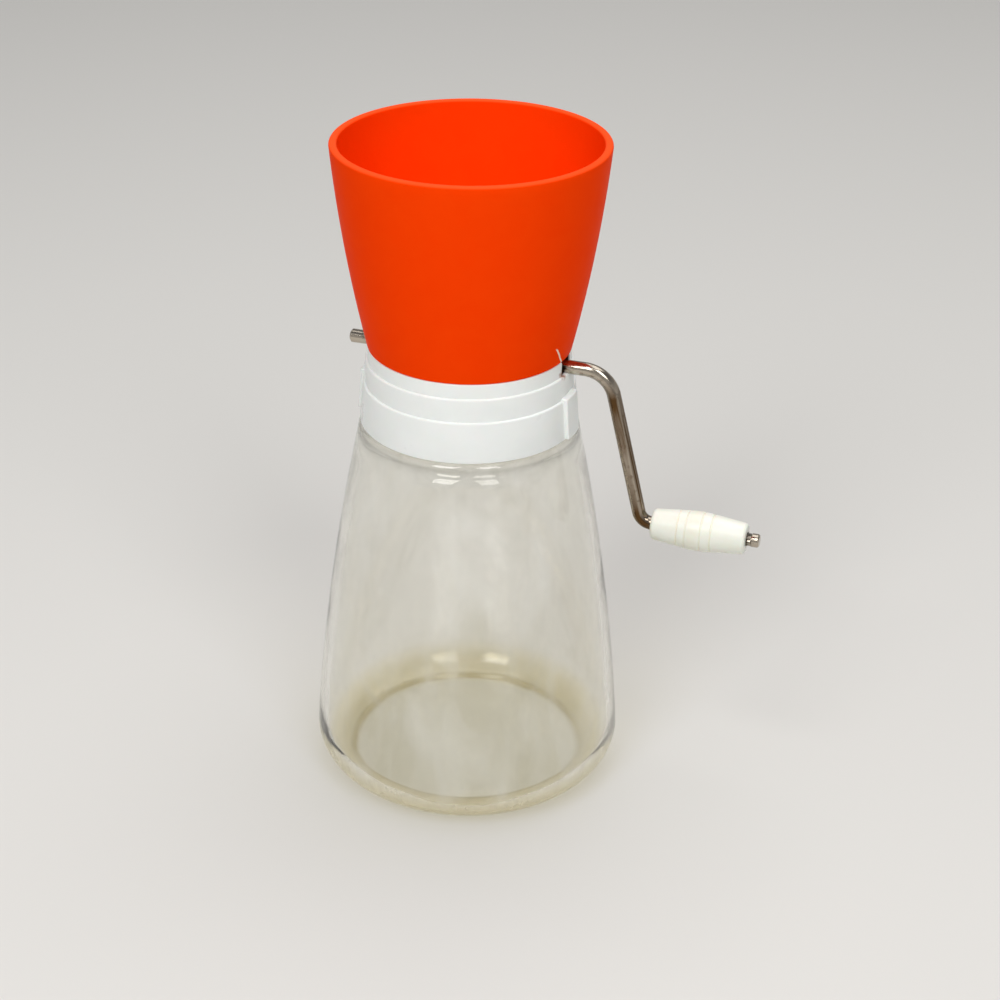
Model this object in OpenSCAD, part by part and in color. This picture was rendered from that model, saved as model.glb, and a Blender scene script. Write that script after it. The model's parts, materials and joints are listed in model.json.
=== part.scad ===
// Hand-cranked nut chopper: a glass jar, a screw collar that carries the crank and its
// chopping wheels, and a hopper that plugs into the top of the collar.
// Millimetres, +Z up. The origin is the centre of the ring that the jar rests on, and the
// crank's shaft runs along X, with the handle at +X and hanging straight down.

/* [Jar] */
// Widest diameter of the jar, at the top of its rounded heel
jar_d = 89; // [80:0.5:100]
// Height from the resting ring to the shoulder under the collar
jar_body_h = 110; // [95:0.5:130]
// Height of the rounded heel
jar_heel_h = 11.4; // [8:0.2:15]
// Outer diameter of the ring that the jar rests on
jar_foot_d = 62; // [54:0.5:68]
// Width of the resting ring
jar_foot_w = 4; // [3:0.5:8]
// Rise of the hollow under the base
jar_kick = 0.6; // [0.3:0.1:1]
// How far the side swells out from a straight cone
jar_bulge = 1.7; // [0.5:0.1:4]
// Thickness of the side wall
jar_wall = 2.6; // [1.8:0.1:3.4]
// Thickness of the floor at its edge
jar_floor = 2.4; // [2:0.1:4]
// Depth of the step round the edge of the floor
jar_floor_step = 1; // [0.4:0.1:1.4]
// Ledge of the shoulder that shows outside the collar
shoulder_ledge = 0.5; // [0:0.1:2]
// Rounding of the shoulder's edge
shoulder_round = 2; // [0.6:0.1:2.4]

/* [Neck and thread] */
// Diameter of the neck at the root of its thread
neck_d = 50.2; // [47:0.2:54]
// Thickness of the neck's wall
neck_wall = 3.1; // [2.2:0.1:3.6]
// Height of the neck above the shoulder
neck_h = 12; // [11:0.2:16]
// Advance of the thread in one turn
thread_pitch = 4.2; // [3.6:0.1:4.6]
// Height of the neck's thread ridge
thread_depth = 1.25; // [0.9:0.05:1.6]
// Radial gap between the neck's ridge and the collar's wall
thread_clear = 0.75; // [0.5:0.05:1.2]
// Width of a thread ridge at its root
thread_root_w = 2; // [1.6:0.1:2.2]
// Turns of thread on the neck
neck_turns = 1.4; // [1.1:0.1:1.5]
// Turns of thread inside the collar
collar_turns = 1.2; // [0.8:0.1:1.3]

/* [Collar] */
// Gap between the jar's shoulder and the collar's lower edge
skirt_gap = 0.4; // [0.3:0.1:1.2]
// Wall of the threaded skirt
collar_wall = 2.2; // [1.6:0.1:3]
// How much wider the skirt is at its lower edge than at its upper edge
skirt_flare = 0.9; // [0:0.1:1.4]
// How far the skirt's upper edge lies below the deck
skirt_drop = 1.2; // [0.6:0.1:2]
// Step in radius from the skirt to the middle ring, and from that to the upper ring
collar_step = 0.7; // [0.4:0.05:1]
// Wall of the upper ring, which holds the hopper and the shaft
ring_wall = 2; // [1.4:0.1:2.6]
// Height of the upper ring's narrow band
upper_band_h = 4.1; // [2.5:0.05:5]
// Height of the collar above its deck
ring_rise = 7.2; // [6.6:0.1:9]
// Thickness of the deck that the combs are riveted to
deck_t = 2.2; // [1.8:0.1:3]
// Half of the angle that each grip pad covers
pad_half_angle = 7.5; // [5:0.5:9]
// Angle from the shaft to the middle of a grip pad, towards the front
pad_turn = 4; // [0:0.5:8]
// How far the grip pads stand out of the skirt
pad_proud = 1.1; // [0.6:0.1:2]
// Thickness of the sealing ring between the jar's lip and the deck
seal_t = 1; // [0.6:0.1:1.6]

/* [Hopper] */
// Diameter of the hopper's rim
hopper_top_d = 74; // [64:0.5:84]
// Height of the hopper above the collar
hopper_h = 57; // [40:0.5:75]
// How far the hopper's side swells out from a straight cone
hopper_bulge = 0.97; // [0.3:0.01:2.5]
// Wall of the hopper
hopper_wall = 2.2; // [1.6:0.1:3]
// Wall of the spigot that plugs into the collar
spigot_wall = 2; // [1.4:0.1:2.6]
// Radial clearance of the spigot in the collar
spigot_clear = 0.1; // [0.05:0.01:0.1]
// Height of the sloping funnel floor inside the hopper
funnel_rise = 8; // [5:0.5:12]

/* [Crank] */
// Diameter of the crank's wire
rod_d = 3.8; // [3:0.1:4.4]
// Depth of the shaft's centre below the top of the collar
shaft_drop = 3; // [2.6:0.1:3.4]
// Length of shaft that stands out of the collar on the plain side
stub_len = 6.8; // [3:0.2:12]
// Distance from the collar to the corner where the arm leaves the shaft's line
arm_standoff = 11.6; // [9:0.2:20]
// Distance from the shaft's axis to the handle's axis
crank_throw = 43.4; // [34:0.2:55]
// Outward lean of the arm
arm_splay = 14; // [6:0.5:24]
// Bend radius where the arm leaves the shaft
top_bend_r = 8.5; // [5:0.5:10]
// Bend radius where the arm meets the handle
low_bend_r = 4; // [3:0.5:7]
// Length of rod past the handle
tail_len = 3.5; // [2.6:0.1:6]
// How far the staked ears stand out of the rod
ear_proud = 0.5; // [0.3:0.05:0.8]
// Radial running clearance of the shaft and the handle
run_clear = 0.06; // [0.03:0.01:0.1]

/* [Handle] */
// Length of the handle
grip_len = 26.4; // [20:0.2:40]
// Diameter of the handle at its middle
grip_d = 11; // [9.5:0.1:14]
// Diameter of the handle at its ends
grip_end_d = 8.5; // [7.4:0.1:9.4]
// Rounding of the handle's ends
grip_round = 1.1; // [0.5:0.1:1.4]
// End play of the handle on the rod
grip_play = 0.2; // [0.1:0.05:0.5]

/* [Chopping wheels] */
// Number of toothed wheels on the shaft
wheel_count = 5; // [3:1:6]
// Diameter over the teeth
wheel_d = 25; // [20:0.5:27]
// Diameter at the root of the teeth
wheel_root_d = 15; // [12:0.5:17]
// Thickness of a wheel
wheel_t = 1.2; // [0.8:0.1:1.6]
// Number of teeth on a wheel
tooth_count = 8; // [6:1:10]
// Length of the sleeve between two wheels
wheel_gap = 5.2; // [4.4:0.1:5.6]
// Outer diameter of the sleeves
spacer_d = 5.4; // [5:0.1:6.4]
// Depth of the flat on the shaft that turns the wheels
flat_depth = 0.5; // [0.3:0.05:0.8]
// Outer diameter of the push nuts that hold the wheels
push_nut_d = 8.4; // [7:0.2:10]
// Overall thickness of a push nut
push_nut_t = 1; // [0.8:0.1:1.4]

/* [Combs] */
// Thickness of the comb plates
comb_t = 1.5; // [1:0.1:2]
// Width of a coarse tine
coarse_tine_w = 1.6; // [1:0.1:2.2]
// Width of a fine tine
fine_tine_w = 1.2; // [0.8:0.1:1.4]
// Diameter of the rivets that hold the combs
rivet_d = 2.4; // [1.8:0.1:3]
// Diameter of the rivet heads
rivet_head_d = 4.4; // [3.6:0.1:5]
// Distance of each rivet from the middle of its comb
rivet_x = 8; // [5:0.5:10]

/* [Hidden] */
$fn = 64;

// Clearances and small allowances
fit_gap = 0.05;
comb_edge_gap = 0.4;
spigot_gap = 0.3;
seal_gap = 0.4;
sweep_gap = 0.9;
tine_gap = 0.7;
rivet_recess_gap = 0.2;
through = 1;

// Small roundings and the smoothness of the formula curves
lip_round = 1.2;
neck_fillet = 1;
rim_round = 0.7;
rod_chamfer = 0.4;
curve_steps = 14;
round_steps = 5;

// Jar and neck
jar_r = jar_d / 2;
foot_r = jar_foot_d / 2;
foot_in_r = foot_r - jar_foot_w;
neck_r = neck_d / 2;
bore_r = neck_r - neck_wall;
lip_z = jar_body_h + neck_h;
side_top = jar_body_h - shoulder_round;
inner_shoulder_h = 8.5;
inner_shoulder_r = 10;
inner_heel_h = 11.5;
floor_r = foot_r + 3;
floor_step_w = 0.5;

// Collar, from the neck outwards and from the lip upwards
skirt_in_r = neck_r + thread_depth + thread_clear;
skirt_r = skirt_in_r + collar_wall;
shoulder_r = skirt_r + skirt_flare + shoulder_ledge;
mid_r = skirt_r - collar_step;
ring_r = mid_r - collar_step;
ring_in_r = ring_r - ring_wall;
edge_round = min(0.5, 0.7 * collar_step);
skirt_z = jar_body_h + skirt_gap;
deck_z = lip_z + seal_t;
skirt_top = deck_z - skirt_drop;
pad_low = skirt_z + edge_round / 2;
pad_top = skirt_top + edge_round;
deck_top = deck_z + deck_t;
collar_top = deck_top + ring_rise;
mid_top = collar_top - upper_band_h;
comb_top = deck_top + comb_t;

// Thread: the collar's ridge runs half a pitch under the neck's
thread_sink = 0.4;
thread_crest_w = thread_root_w / 2;
thread_engage = 0.8;
thread_fade = 0.08;
thread_steps = 36;
collar_lead = 0.4;
neck_thread_z = jar_body_h + neck_fillet + thread_root_w / 2 + 0.6;
collar_thread_z = neck_thread_z + (collar_lead - 0.5) * thread_pitch;
collar_thread_depth = thread_clear + thread_engage;

// Shaft and the stack of wheels on it
rod_r = rod_d / 2;
shaft_z = collar_top - shaft_drop;
wheel_r = wheel_d / 2;
wheel_pitch = wheel_t + wheel_gap;
stack_half = (wheel_count * wheel_t + (wheel_count - 1) * wheel_gap) / 2;
stack_reach = stack_half + push_nut_t;
sweep_r = norm([stack_half, wheel_r]);

// Throat in the deck, combs and rivets
throat_x = stack_reach + sweep_gap;
throat_y = wheel_r + sweep_gap;
throat_round = 4;
comb_r = ring_in_r - comb_edge_gap;
tine_end = spacer_d / 2 + tine_gap;
rivet_y = throat_y + rivet_head_d / 2 + 1;
rivet_head_t = 0.9;

// Hopper
hopper_top_r = hopper_top_d / 2;
hopper_top = collar_top + hopper_h;
spigot_r = ring_in_r - spigot_clear;
spigot_in_r = spigot_r - spigot_wall;
spigot_z = comb_top + spigot_gap;
funnel_lip_r = sweep_r + sweep_gap;
funnel_lip_z = shaft_z + rod_r + 0.6;
funnel_lip_t = 1.4;
funnel_lip_land = 1;
funnel_wall = 2.4;
funnel_top = funnel_lip_z + funnel_lip_t + funnel_rise;

// Crank wire and handle
bend = 90 - arm_splay;
bend_swell = 0.03;
bend_lap = 0.3;
top_tangent = top_bend_r * tan(bend / 2);
low_tangent = low_bend_r * tan(bend / 2);
corner_x = ring_r + arm_standoff;
spindle_z = shaft_z - crank_throw;
spindle_x = corner_x + crank_throw * tan(arm_splay) + low_tangent;
arm_len = crank_throw / cos(arm_splay) - top_tangent - low_tangent;
stub_x = -(ring_r + stub_len);
grip_x = spindle_x + grip_play;
ear_x = grip_x + grip_len + grip_play;
ear_len = 1.3;
ear_w = 1.6;
rod_end_x = grip_x + grip_len + tail_len;
grip_r = grip_d / 2;
grip_end_r = grip_end_d / 2;
grip_straight = 0.12;
ring_groove_depth = 0.16;
ring_groove_w = 0.5;
ring_groove_at = [0.29, 0.38, 0.54, 0.645];

wheel_names = [for (i = [1:wheel_count]) str("chopping_wheel_", i)];
spacer_names = [for (i = [1:wheel_count - 1]) str("wheel_spacer_", i)];

// Radius at height z on the arc that joins p to q and swells out by bulge at its middle
function swell(z, p, q, bulge) =
    let (
        chord = norm(q - p),
        arc_r = (chord * chord / 4 + bulge * bulge) / (2 * bulge),
        outward = [q[1] - p[1], p[0] - q[0]] / chord,
        centre = (p + q) / 2 - outward * (arc_r - bulge)
    )
    centre[0] + sqrt(arc_r * arc_r - (z - centre[1]) * (z - centre[1]));

// Points on a circular arc from angle a to angle b
function arc(centre, r, a, b, steps = round_steps) =
    [for (i = [0:steps]) centre + r * [cos(a + (b - a) * i / steps), sin(a + (b - a) * i / steps)]];

function jar_side(z) = swell(z, [jar_r, jar_heel_h], [shoulder_r, side_top], jar_bulge);

function jar_inside(z) = jar_side(z) - jar_wall;

function hopper_side(z, inset) =
    swell(z, [ring_r - inset, collar_top], [hopper_top_r - inset, hopper_top - rim_round], hopper_bulge);

// Height of the funnel floor at radius r
function funnel_z(r) =
    let (share = (r - funnel_lip_r) / (hopper_side(funnel_top, hopper_wall) - funnel_lip_r))
    funnel_lip_z + funnel_lip_t + funnel_rise * share;

// Outline of the jar's outside, from the middle of the base to the lip
function jar_outer() = concat(
    [for (i = [0:round_steps]) let (u = i / round_steps) [foot_in_r * u, jar_kick * (1 - u * u)]],
    [for (i = [0:round_steps * 2]) let (t = 45 * i / round_steps)
        [foot_r + (jar_r - foot_r) * sin(t), jar_heel_h * (1 - cos(t))]],
    [for (i = [1:curve_steps - 1]) let (z = jar_heel_h + (side_top - jar_heel_h) * i / curve_steps)
        [jar_side(z), z]],
    arc([shoulder_r - shoulder_round, side_top], shoulder_round, 0, 90),
    arc([neck_r + neck_fillet, jar_body_h + neck_fillet], neck_fillet, 270, 180),
    arc([neck_r - lip_round, lip_z - lip_round], lip_round, 0, 90)
);

// Outline of the jar's inside, from the lip down to the middle of the floor
function jar_inner() =
    let (
        shoulder_z = jar_body_h - inner_shoulder_h,
        lean = atan(jar_inside(shoulder_z - 0.5) - jar_inside(shoulder_z + 0.5)),
        dome = [jar_inside(shoulder_z), shoulder_z] - inner_shoulder_r * [cos(lean), sin(lean)],
        heel_z = jar_floor + inner_heel_h,
        heel_r = jar_inside(heel_z),
        step_r = floor_r + floor_step_w,
        step_z = jar_floor + jar_floor_step
    )
    concat(
        arc([bore_r + lip_round, lip_z - lip_round], lip_round, 90, 180),
        arc(dome, inner_shoulder_r, acos((bore_r - dome[0]) / inner_shoulder_r), lean, curve_steps),
        [for (i = [1:curve_steps - 1]) let (z = shoulder_z + (heel_z - shoulder_z) * i / curve_steps)
            [jar_inside(z), z]],
        [for (i = [0:round_steps * 2]) let (t = 90 - 45 * i / round_steps)
            [step_r + (heel_r - step_r) * sin(t), step_z + (heel_z - step_z) * (1 - cos(t))]],
        [[floor_r, jar_floor], [0, jar_floor]]
    );

// A helical thread ridge that starts at height z and fades in and out at its ends.
// A negative depth makes the ridge stand inwards from its root.
module thread_ridge(root_r, depth, turns, z, start) {
    rings = ceil(turns * thread_steps);
    way = depth > 0 ? 1 : -1;
    points = [
        for (i = [0:rings])
            let (
                angle = start + 360 * turns * i / rings,
                rise = z + thread_pitch * turns * i / rings,
                fade = max(0.05, min(1, i / rings / thread_fade, (rings - i) / rings / thread_fade)),
                sunk_r = root_r - way * thread_sink,
                crest_r = root_r + depth * fade
            )
            for (corner = [
                [sunk_r, -thread_root_w / 2],
                [crest_r, -thread_crest_w / 2],
                [crest_r, thread_crest_w / 2],
                [sunk_r, thread_root_w / 2]
            ])
                [corner[0] * cos(angle), corner[0] * sin(angle), rise + corner[1]]
    ];
    last = 4 * rings;
    sides = [
        for (i = [0:rings - 1], k = [0:3])
            let (a = 4 * i + k, b = 4 * i + (k + 1) % 4)
            for (face = [[a, b, a + 4], [b, b + 4, a + 4]]) face
    ];
    ends = [[0, 2, 1], [0, 3, 2], [last, last + 1, last + 2], [last, last + 2, last + 3]];
    outward = concat(sides, ends);
    inward = [for (face = outward) [face[2], face[1], face[0]]];
    polyhedron(points, way > 0 ? outward : inward, convexity = 6);
}

// Turns what is drawn along Z to lie along the shaft's direction, starting at x and height z
module along_x(x, z) {
    translate([x, 0, z])
        rotate([0, 90, 0])
            children();
}

// The shaft's running hole, left open upwards or downwards so that the shaft can be laid in
module shaft_slot(way) {
    reach = skirt_r + pad_proud + through;
    slot_w = rod_d + 2 * run_clear;
    slot_h = shaft_drop + through + ring_rise;
    along_x(-reach, shaft_z)
        cylinder(d = slot_w, h = 2 * reach);
    translate([-reach, -slot_w / 2, shaft_z + (way > 0 ? 0 : -slot_h)])
        cube([2 * reach, slot_w, slot_h]);
}

// The shaft's section with its driving flat, the flat being on top once it lies along X
module flatted_section(gap) {
    difference() {
        circle(d = rod_d + 2 * gap);
        translate([-rod_d - rod_r + flat_depth - gap, -rod_d])
            square([rod_d, 2 * rod_d]);
    }
}

// Places its children at the four rivets
module at_rivets() {
    for (sx = [-1, 1], sy = [-1, 1])
        translate([sx * rivet_x, sy * rivet_y, 0])
            children();
}

module glass_jar() {
    color([0.86, 0.88, 0.8, 0.45])
        union() {
            rotate_extrude()
                polygon(concat(jar_outer(), jar_inner()));
            thread_ridge(neck_r, thread_depth, neck_turns, neck_thread_z, 0);
        }
}

module jar_seal_ring() {
    color([0.75, 0.72, 0.66])
        translate([0, 0, lip_z])
            difference() {
                cylinder(r = skirt_in_r - seal_gap, h = seal_t);
                translate([0, 0, -through])
                    cylinder(r = bore_r - seal_gap, h = seal_t + 2 * through);
            }
}

// Opening under the wheels, with rounded corners
module throat() {
    square([2 * throat_x, 2 * (throat_y - throat_round)], center = true);
    square([2 * (throat_x - throat_round), 2 * throat_y], center = true);
    for (sx = [-1, 1], sy = [-1, 1])
        translate([sx * (throat_x - throat_round), sy * (throat_y - throat_round)])
            circle(r = throat_round);
}

module collar_shell() {
    rotate_extrude()
        polygon([
            [skirt_in_r, skirt_z],
            [skirt_r + skirt_flare, skirt_z],
            [skirt_r, skirt_top - edge_round],
            [skirt_r - edge_round, skirt_top],
            [mid_r, skirt_top],
            [mid_r, mid_top - edge_round],
            [mid_r - edge_round, mid_top],
            [ring_r, mid_top],
            [ring_r, collar_top],
            [ring_in_r, collar_top],
            [ring_in_r, deck_top],
            [0, deck_top],
            [0, deck_z],
            [skirt_in_r, deck_z]
        ]);
}

module grip_pad() {
    root_r = skirt_r - collar_wall / 2;
    rotate([0, 0, -pad_half_angle])
        rotate_extrude(angle = 2 * pad_half_angle)
            polygon([
                [root_r, pad_low],
                [skirt_r + skirt_flare + pad_proud, pad_low],
                [skirt_r + pad_proud, pad_top],
                [root_r, pad_top]
            ]);
}

module screw_collar() {
    color([0.9, 0.92, 0.92])
        union() {
            difference() {
                collar_shell();
                translate([0, 0, deck_z - through])
                    linear_extrude(deck_t + 2 * through)
                        throat();
                shaft_slot(1);
                translate([0, 0, deck_z - through])
                    at_rivets() {
                        cylinder(d = rivet_d + 2 * fit_gap, h = deck_t + 2 * through);
                        cylinder(d = rivet_head_d + 2 * rivet_recess_gap, h = through + rivet_head_t);
                    }
            }
            for (turn = [-pad_turn, 180 + pad_turn])
                rotate([0, 0, turn])
                    grip_pad();
            thread_ridge(
                skirt_in_r, -collar_thread_depth, collar_turns, collar_thread_z, 360 * collar_lead
            );
        }
}

// A stamped comb on the +Y side of the throat, with its tines between the wheels
module comb(tine_w, per_gap) {
    step = (wheel_gap + tine_w) / (per_gap + 1);
    translate([0, 0, deck_top])
        linear_extrude(comb_t)
            difference() {
                union() {
                    intersection() {
                        circle(r = comb_r);
                        translate([-comb_r, throat_y])
                            square([2 * comb_r, comb_r]);
                    }
                    for (gap = [1:wheel_count - 1], k = [1:per_gap])
                        translate([
                            (gap - wheel_count / 2) * wheel_pitch - (wheel_gap + tine_w) / 2 + k * step,
                            tine_end + tine_w / 2
                        ]) {
                            circle(d = tine_w);
                            translate([-tine_w / 2, 0])
                                square([tine_w, throat_y - tine_end]);
                        }
                }
                for (sx = [-1, 1])
                    translate([sx * rivet_x, rivet_y])
                        circle(d = rivet_d + 2 * fit_gap);
            }
}

module coarse_comb() {
    color([0.72, 0.72, 0.7])
        rotate([0, 0, 180])
            comb(coarse_tine_w, 1);
}

module fine_comb() {
    color([0.72, 0.72, 0.7])
        comb(fine_tine_w, 2);
}

module comb_rivets() {
    head_r = rivet_head_d / 2;
    color([0.8, 0.78, 0.72])
        at_rivets()
            rotate_extrude()
                polygon([
                    [0, deck_z],
                    [head_r, deck_z],
                    [head_r, deck_z + rivet_head_t],
                    [rivet_d / 2, deck_z + rivet_head_t],
                    [rivet_d / 2, comb_top],
                    [head_r, comb_top],
                    [head_r, comb_top + rivet_head_t / 3],
                    [head_r * 0.6, comb_top + rivet_head_t],
                    [0, comb_top + rivet_head_t]
                ]);
}

// Section of the hopper: outer wall, rim, bowl, funnel floor, spigot and seat on the collar
function hopper_section() = concat(
    [for (i = [0:curve_steps - 1])
        let (z = collar_top + (hopper_top - rim_round - collar_top) * i / curve_steps)
        [hopper_side(z, 0), z]],
    arc([hopper_top_r - rim_round, hopper_top - rim_round], rim_round, 0, 90),
    arc([hopper_top_r - hopper_wall + rim_round, hopper_top - rim_round], rim_round, 90, 180),
    [for (i = [1:curve_steps])
        let (z = hopper_top - rim_round + (funnel_top - hopper_top + rim_round) * i / curve_steps)
        [hopper_side(z, hopper_wall), z]],
    [
        [funnel_lip_r, funnel_lip_z + funnel_lip_t],
        [funnel_lip_r, funnel_lip_z],
        [funnel_lip_r + funnel_lip_land, funnel_lip_z],
        [spigot_in_r, funnel_z(spigot_in_r) - funnel_wall],
        [spigot_in_r, spigot_z],
        [spigot_r, spigot_z],
        [spigot_r, collar_top]
    ]
);

module hopper() {
    color([1, 0.24, 0.02])
        difference() {
            rotate_extrude()
                polygon(hopper_section());
            shaft_slot(-1);
        }
}

// A bend of the crank's wire in the XZ plane, from angle a through the crank's bend angle.
// The wire swells a little where it is bent, and the straight lengths run on into the bends.
module rod_bend(x, z, r, a) {
    translate([x, 0, z])
        rotate([90, 0, 0])
            rotate([0, 0, a])
                rotate_extrude(angle = bend)
                    translate([r, 0])
                        circle(d = rod_d + 2 * bend_swell);
}

module crank_rod() {
    arm_x = corner_x + top_tangent * sin(arm_splay);
    arm_z = shaft_z - top_tangent * cos(arm_splay);
    color([0.78, 0.75, 0.7])
        difference() {
            union() {
                along_x(stub_x, shaft_z)
                    cylinder(d1 = rod_d - 2 * rod_chamfer, d2 = rod_d, h = rod_chamfer);
                along_x(stub_x + rod_chamfer, shaft_z)
                    cylinder(d = rod_d, h = corner_x - top_tangent - stub_x - rod_chamfer + bend_lap);
                rod_bend(corner_x - top_tangent, shaft_z - top_bend_r, top_bend_r, arm_splay);
                translate([arm_x, 0, arm_z])
                    rotate([0, 180 - arm_splay, 0])
                        translate([0, 0, -bend_lap])
                            cylinder(d = rod_d, h = arm_len + 2 * bend_lap);
                rod_bend(spindle_x, spindle_z + low_bend_r, low_bend_r, 180 + arm_splay);
                along_x(spindle_x - bend_lap, spindle_z)
                    cylinder(d = rod_d, h = rod_end_x - rod_chamfer - spindle_x + bend_lap);
                along_x(rod_end_x - rod_chamfer, spindle_z)
                    cylinder(d1 = rod_d, d2 = rod_d - 2 * rod_chamfer, h = rod_chamfer);
                along_x(ear_x, spindle_z)
                    intersection() {
                        cylinder(d = rod_d + 2 * ear_proud, h = ear_len);
                        translate([-ear_w / 2, -rod_d, 0])
                            cube([ear_w, 2 * rod_d, ear_len]);
                    }
            }
            translate([-stack_reach, -rod_d, shaft_z + rod_r - flat_depth])
                cube([2 * stack_reach, 2 * rod_d, rod_d]);
        }
}

// Outline of one toothed wheel: each tooth has a long leading slope, a short tip and a steep back
module toothed_disc(turned) {
    tooth = 360 / tooth_count;
    root_r = wheel_root_d / 2;
    profile = [[0, root_r], [0.5, wheel_r], [0.64, wheel_r], [0.78, root_r]];
    polygon([
        for (i = [0:tooth_count - 1], p = profile)
            let (angle = (i + p[0]) * tooth + turned)
            p[1] * [cos(angle), sin(angle)]
    ]);
}

// Every second wheel is pierced half a tooth further round
module chopping_wheel(i) {
    color([0.74, 0.74, 0.72])
        along_x(-stack_half + (i - 1) * wheel_pitch, shaft_z)
            linear_extrude(wheel_t)
                difference() {
                    toothed_disc(i % 2 * 180 / tooth_count);
                    flatted_section(fit_gap);
                }
}

module wheel_spacer(i) {
    color([0.7, 0.68, 0.62])
        along_x(-stack_half + (i - 1) * wheel_pitch + wheel_t, shaft_z)
            linear_extrude(wheel_gap)
                difference() {
                    circle(d = spacer_d);
                    circle(d = rod_d + 2 * fit_gap);
                }
}

// A slit spring washer that is pushed onto the shaft and bites there, seated at z = 0
module push_nut() {
    bore = rod_r + fit_gap;
    sheet = 0.4 * push_nut_t;
    rim_r = push_nut_d / 2;
    dish_r = (bore + rim_r) / 2;
    slit_w = 0.5;
    difference() {
        rotate_extrude()
            polygon([
                [dish_r, 0],
                [rim_r, 0],
                [rim_r, sheet],
                [dish_r, sheet],
                [bore, push_nut_t],
                [bore, push_nut_t - sheet]
            ]);
        for (turn = [45, 135])
            rotate([0, 0, turn])
                translate([-dish_r, -slit_w / 2, -through])
                    cube([2 * dish_r, slit_w, push_nut_t + 2 * through]);
    }
}

module right_push_nut() {
    color([0.6, 0.6, 0.6])
        along_x(stack_half, shaft_z)
            push_nut();
}

module left_push_nut() {
    color([0.6, 0.6, 0.6])
        mirror([1, 0, 0])
            along_x(stack_half, shaft_z)
                push_nut();
}

// Radius of the handle at distance s along it: two cones with a short straight length between them
function grip_side(s) =
    grip_end_r + (grip_r - grip_end_r) * min(1, (1 - abs(2 * s / grip_len - 1)) / (1 - grip_straight));

// Section of the handle, with its length along the second coordinate
function grip_section() =
    let (first = grip_side(grip_round))
    concat(
        [[rod_r + run_clear, 0]],
        arc([first - grip_round, grip_round], grip_round, 270, 360),
        [for (way = [-1, 1]) [grip_r, grip_len / 2 * (1 + way * grip_straight)]],
        arc([first - grip_round, grip_len - grip_round], grip_round, 0, 90),
        [[rod_r + run_clear, grip_len]]
    );

module handle_grip() {
    color([0.94, 0.93, 0.88])
        along_x(grip_x, spindle_z)
            difference() {
                rotate_extrude()
                    polygon(grip_section());
                for (share = ring_groove_at) {
                    s = share * grip_len;
                    translate([0, 0, s - ring_groove_w / 2])
                        difference() {
                            cylinder(r = grip_r + through, h = ring_groove_w);
                            cylinder(r = grip_side(s) - ring_groove_depth, h = ring_groove_w);
                        }
                }
            }
}

glass_jar();
jar_seal_ring();
screw_collar();
coarse_comb();
fine_comb();
comb_rivets();
hopper();
crank_rod();
left_push_nut();
right_push_nut();
handle_grip();
for (i = [1:wheel_count])
    chopping_wheel(i);
for (i = [1:wheel_count - 1])
    wheel_spacer(i);
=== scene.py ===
"""Looks of the hand-cranked nut chopper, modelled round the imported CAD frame.

Sizes below are in millimetres, and Blender works in metres in the frame of the CAD model.
"""
import json
import math

import bpy
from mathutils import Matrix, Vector

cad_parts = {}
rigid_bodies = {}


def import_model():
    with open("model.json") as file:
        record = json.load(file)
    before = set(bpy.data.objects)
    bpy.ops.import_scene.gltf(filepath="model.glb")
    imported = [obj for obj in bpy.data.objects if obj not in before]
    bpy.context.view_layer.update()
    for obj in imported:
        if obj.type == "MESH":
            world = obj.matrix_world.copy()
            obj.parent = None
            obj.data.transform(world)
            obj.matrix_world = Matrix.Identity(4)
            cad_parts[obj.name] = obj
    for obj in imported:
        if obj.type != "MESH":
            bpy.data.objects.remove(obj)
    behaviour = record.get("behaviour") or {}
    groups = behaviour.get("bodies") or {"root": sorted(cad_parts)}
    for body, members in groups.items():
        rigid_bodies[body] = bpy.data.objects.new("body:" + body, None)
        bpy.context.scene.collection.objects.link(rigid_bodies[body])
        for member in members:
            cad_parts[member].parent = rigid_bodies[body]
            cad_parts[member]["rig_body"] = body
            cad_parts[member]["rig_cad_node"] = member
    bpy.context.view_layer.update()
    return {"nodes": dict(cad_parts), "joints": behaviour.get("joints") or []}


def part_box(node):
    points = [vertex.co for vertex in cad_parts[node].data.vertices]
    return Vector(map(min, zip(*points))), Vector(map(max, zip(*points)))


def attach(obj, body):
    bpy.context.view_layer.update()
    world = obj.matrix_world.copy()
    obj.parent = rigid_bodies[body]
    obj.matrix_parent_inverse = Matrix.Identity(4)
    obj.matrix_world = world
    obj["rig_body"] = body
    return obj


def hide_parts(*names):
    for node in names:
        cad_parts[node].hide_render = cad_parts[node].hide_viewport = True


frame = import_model()

MM = 0.001

# Sizes read from the frame


def span(node):
    """Lowest and highest corner of a CAD node, in millimetres."""
    low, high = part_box(node)
    return low / MM, high / MM


JOINTS = {joint["name"]: joint for joint in frame["joints"]}
jar_high = span("glass_jar")[1]
collar_low, collar_high = span("screw_collar")
seal_low, seal_high = span("jar_seal_ring")
hopper_low, hopper_high = span("hopper")
rod_low, rod_high = span("crank_rod")
grip_low, grip_high = span("handle_grip")
comb_low = span("coarse_comb")[0]
wheel_low = span("chopping_wheel_1")[0]

shaft_z = JOINTS["crank_turn"]["pos_m"][2] / MM
spindle_z = JOINTS["grip_spin"]["pos_m"][2] / MM

# Sizes of the pieces, taken from the boxes above where these give them

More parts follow.
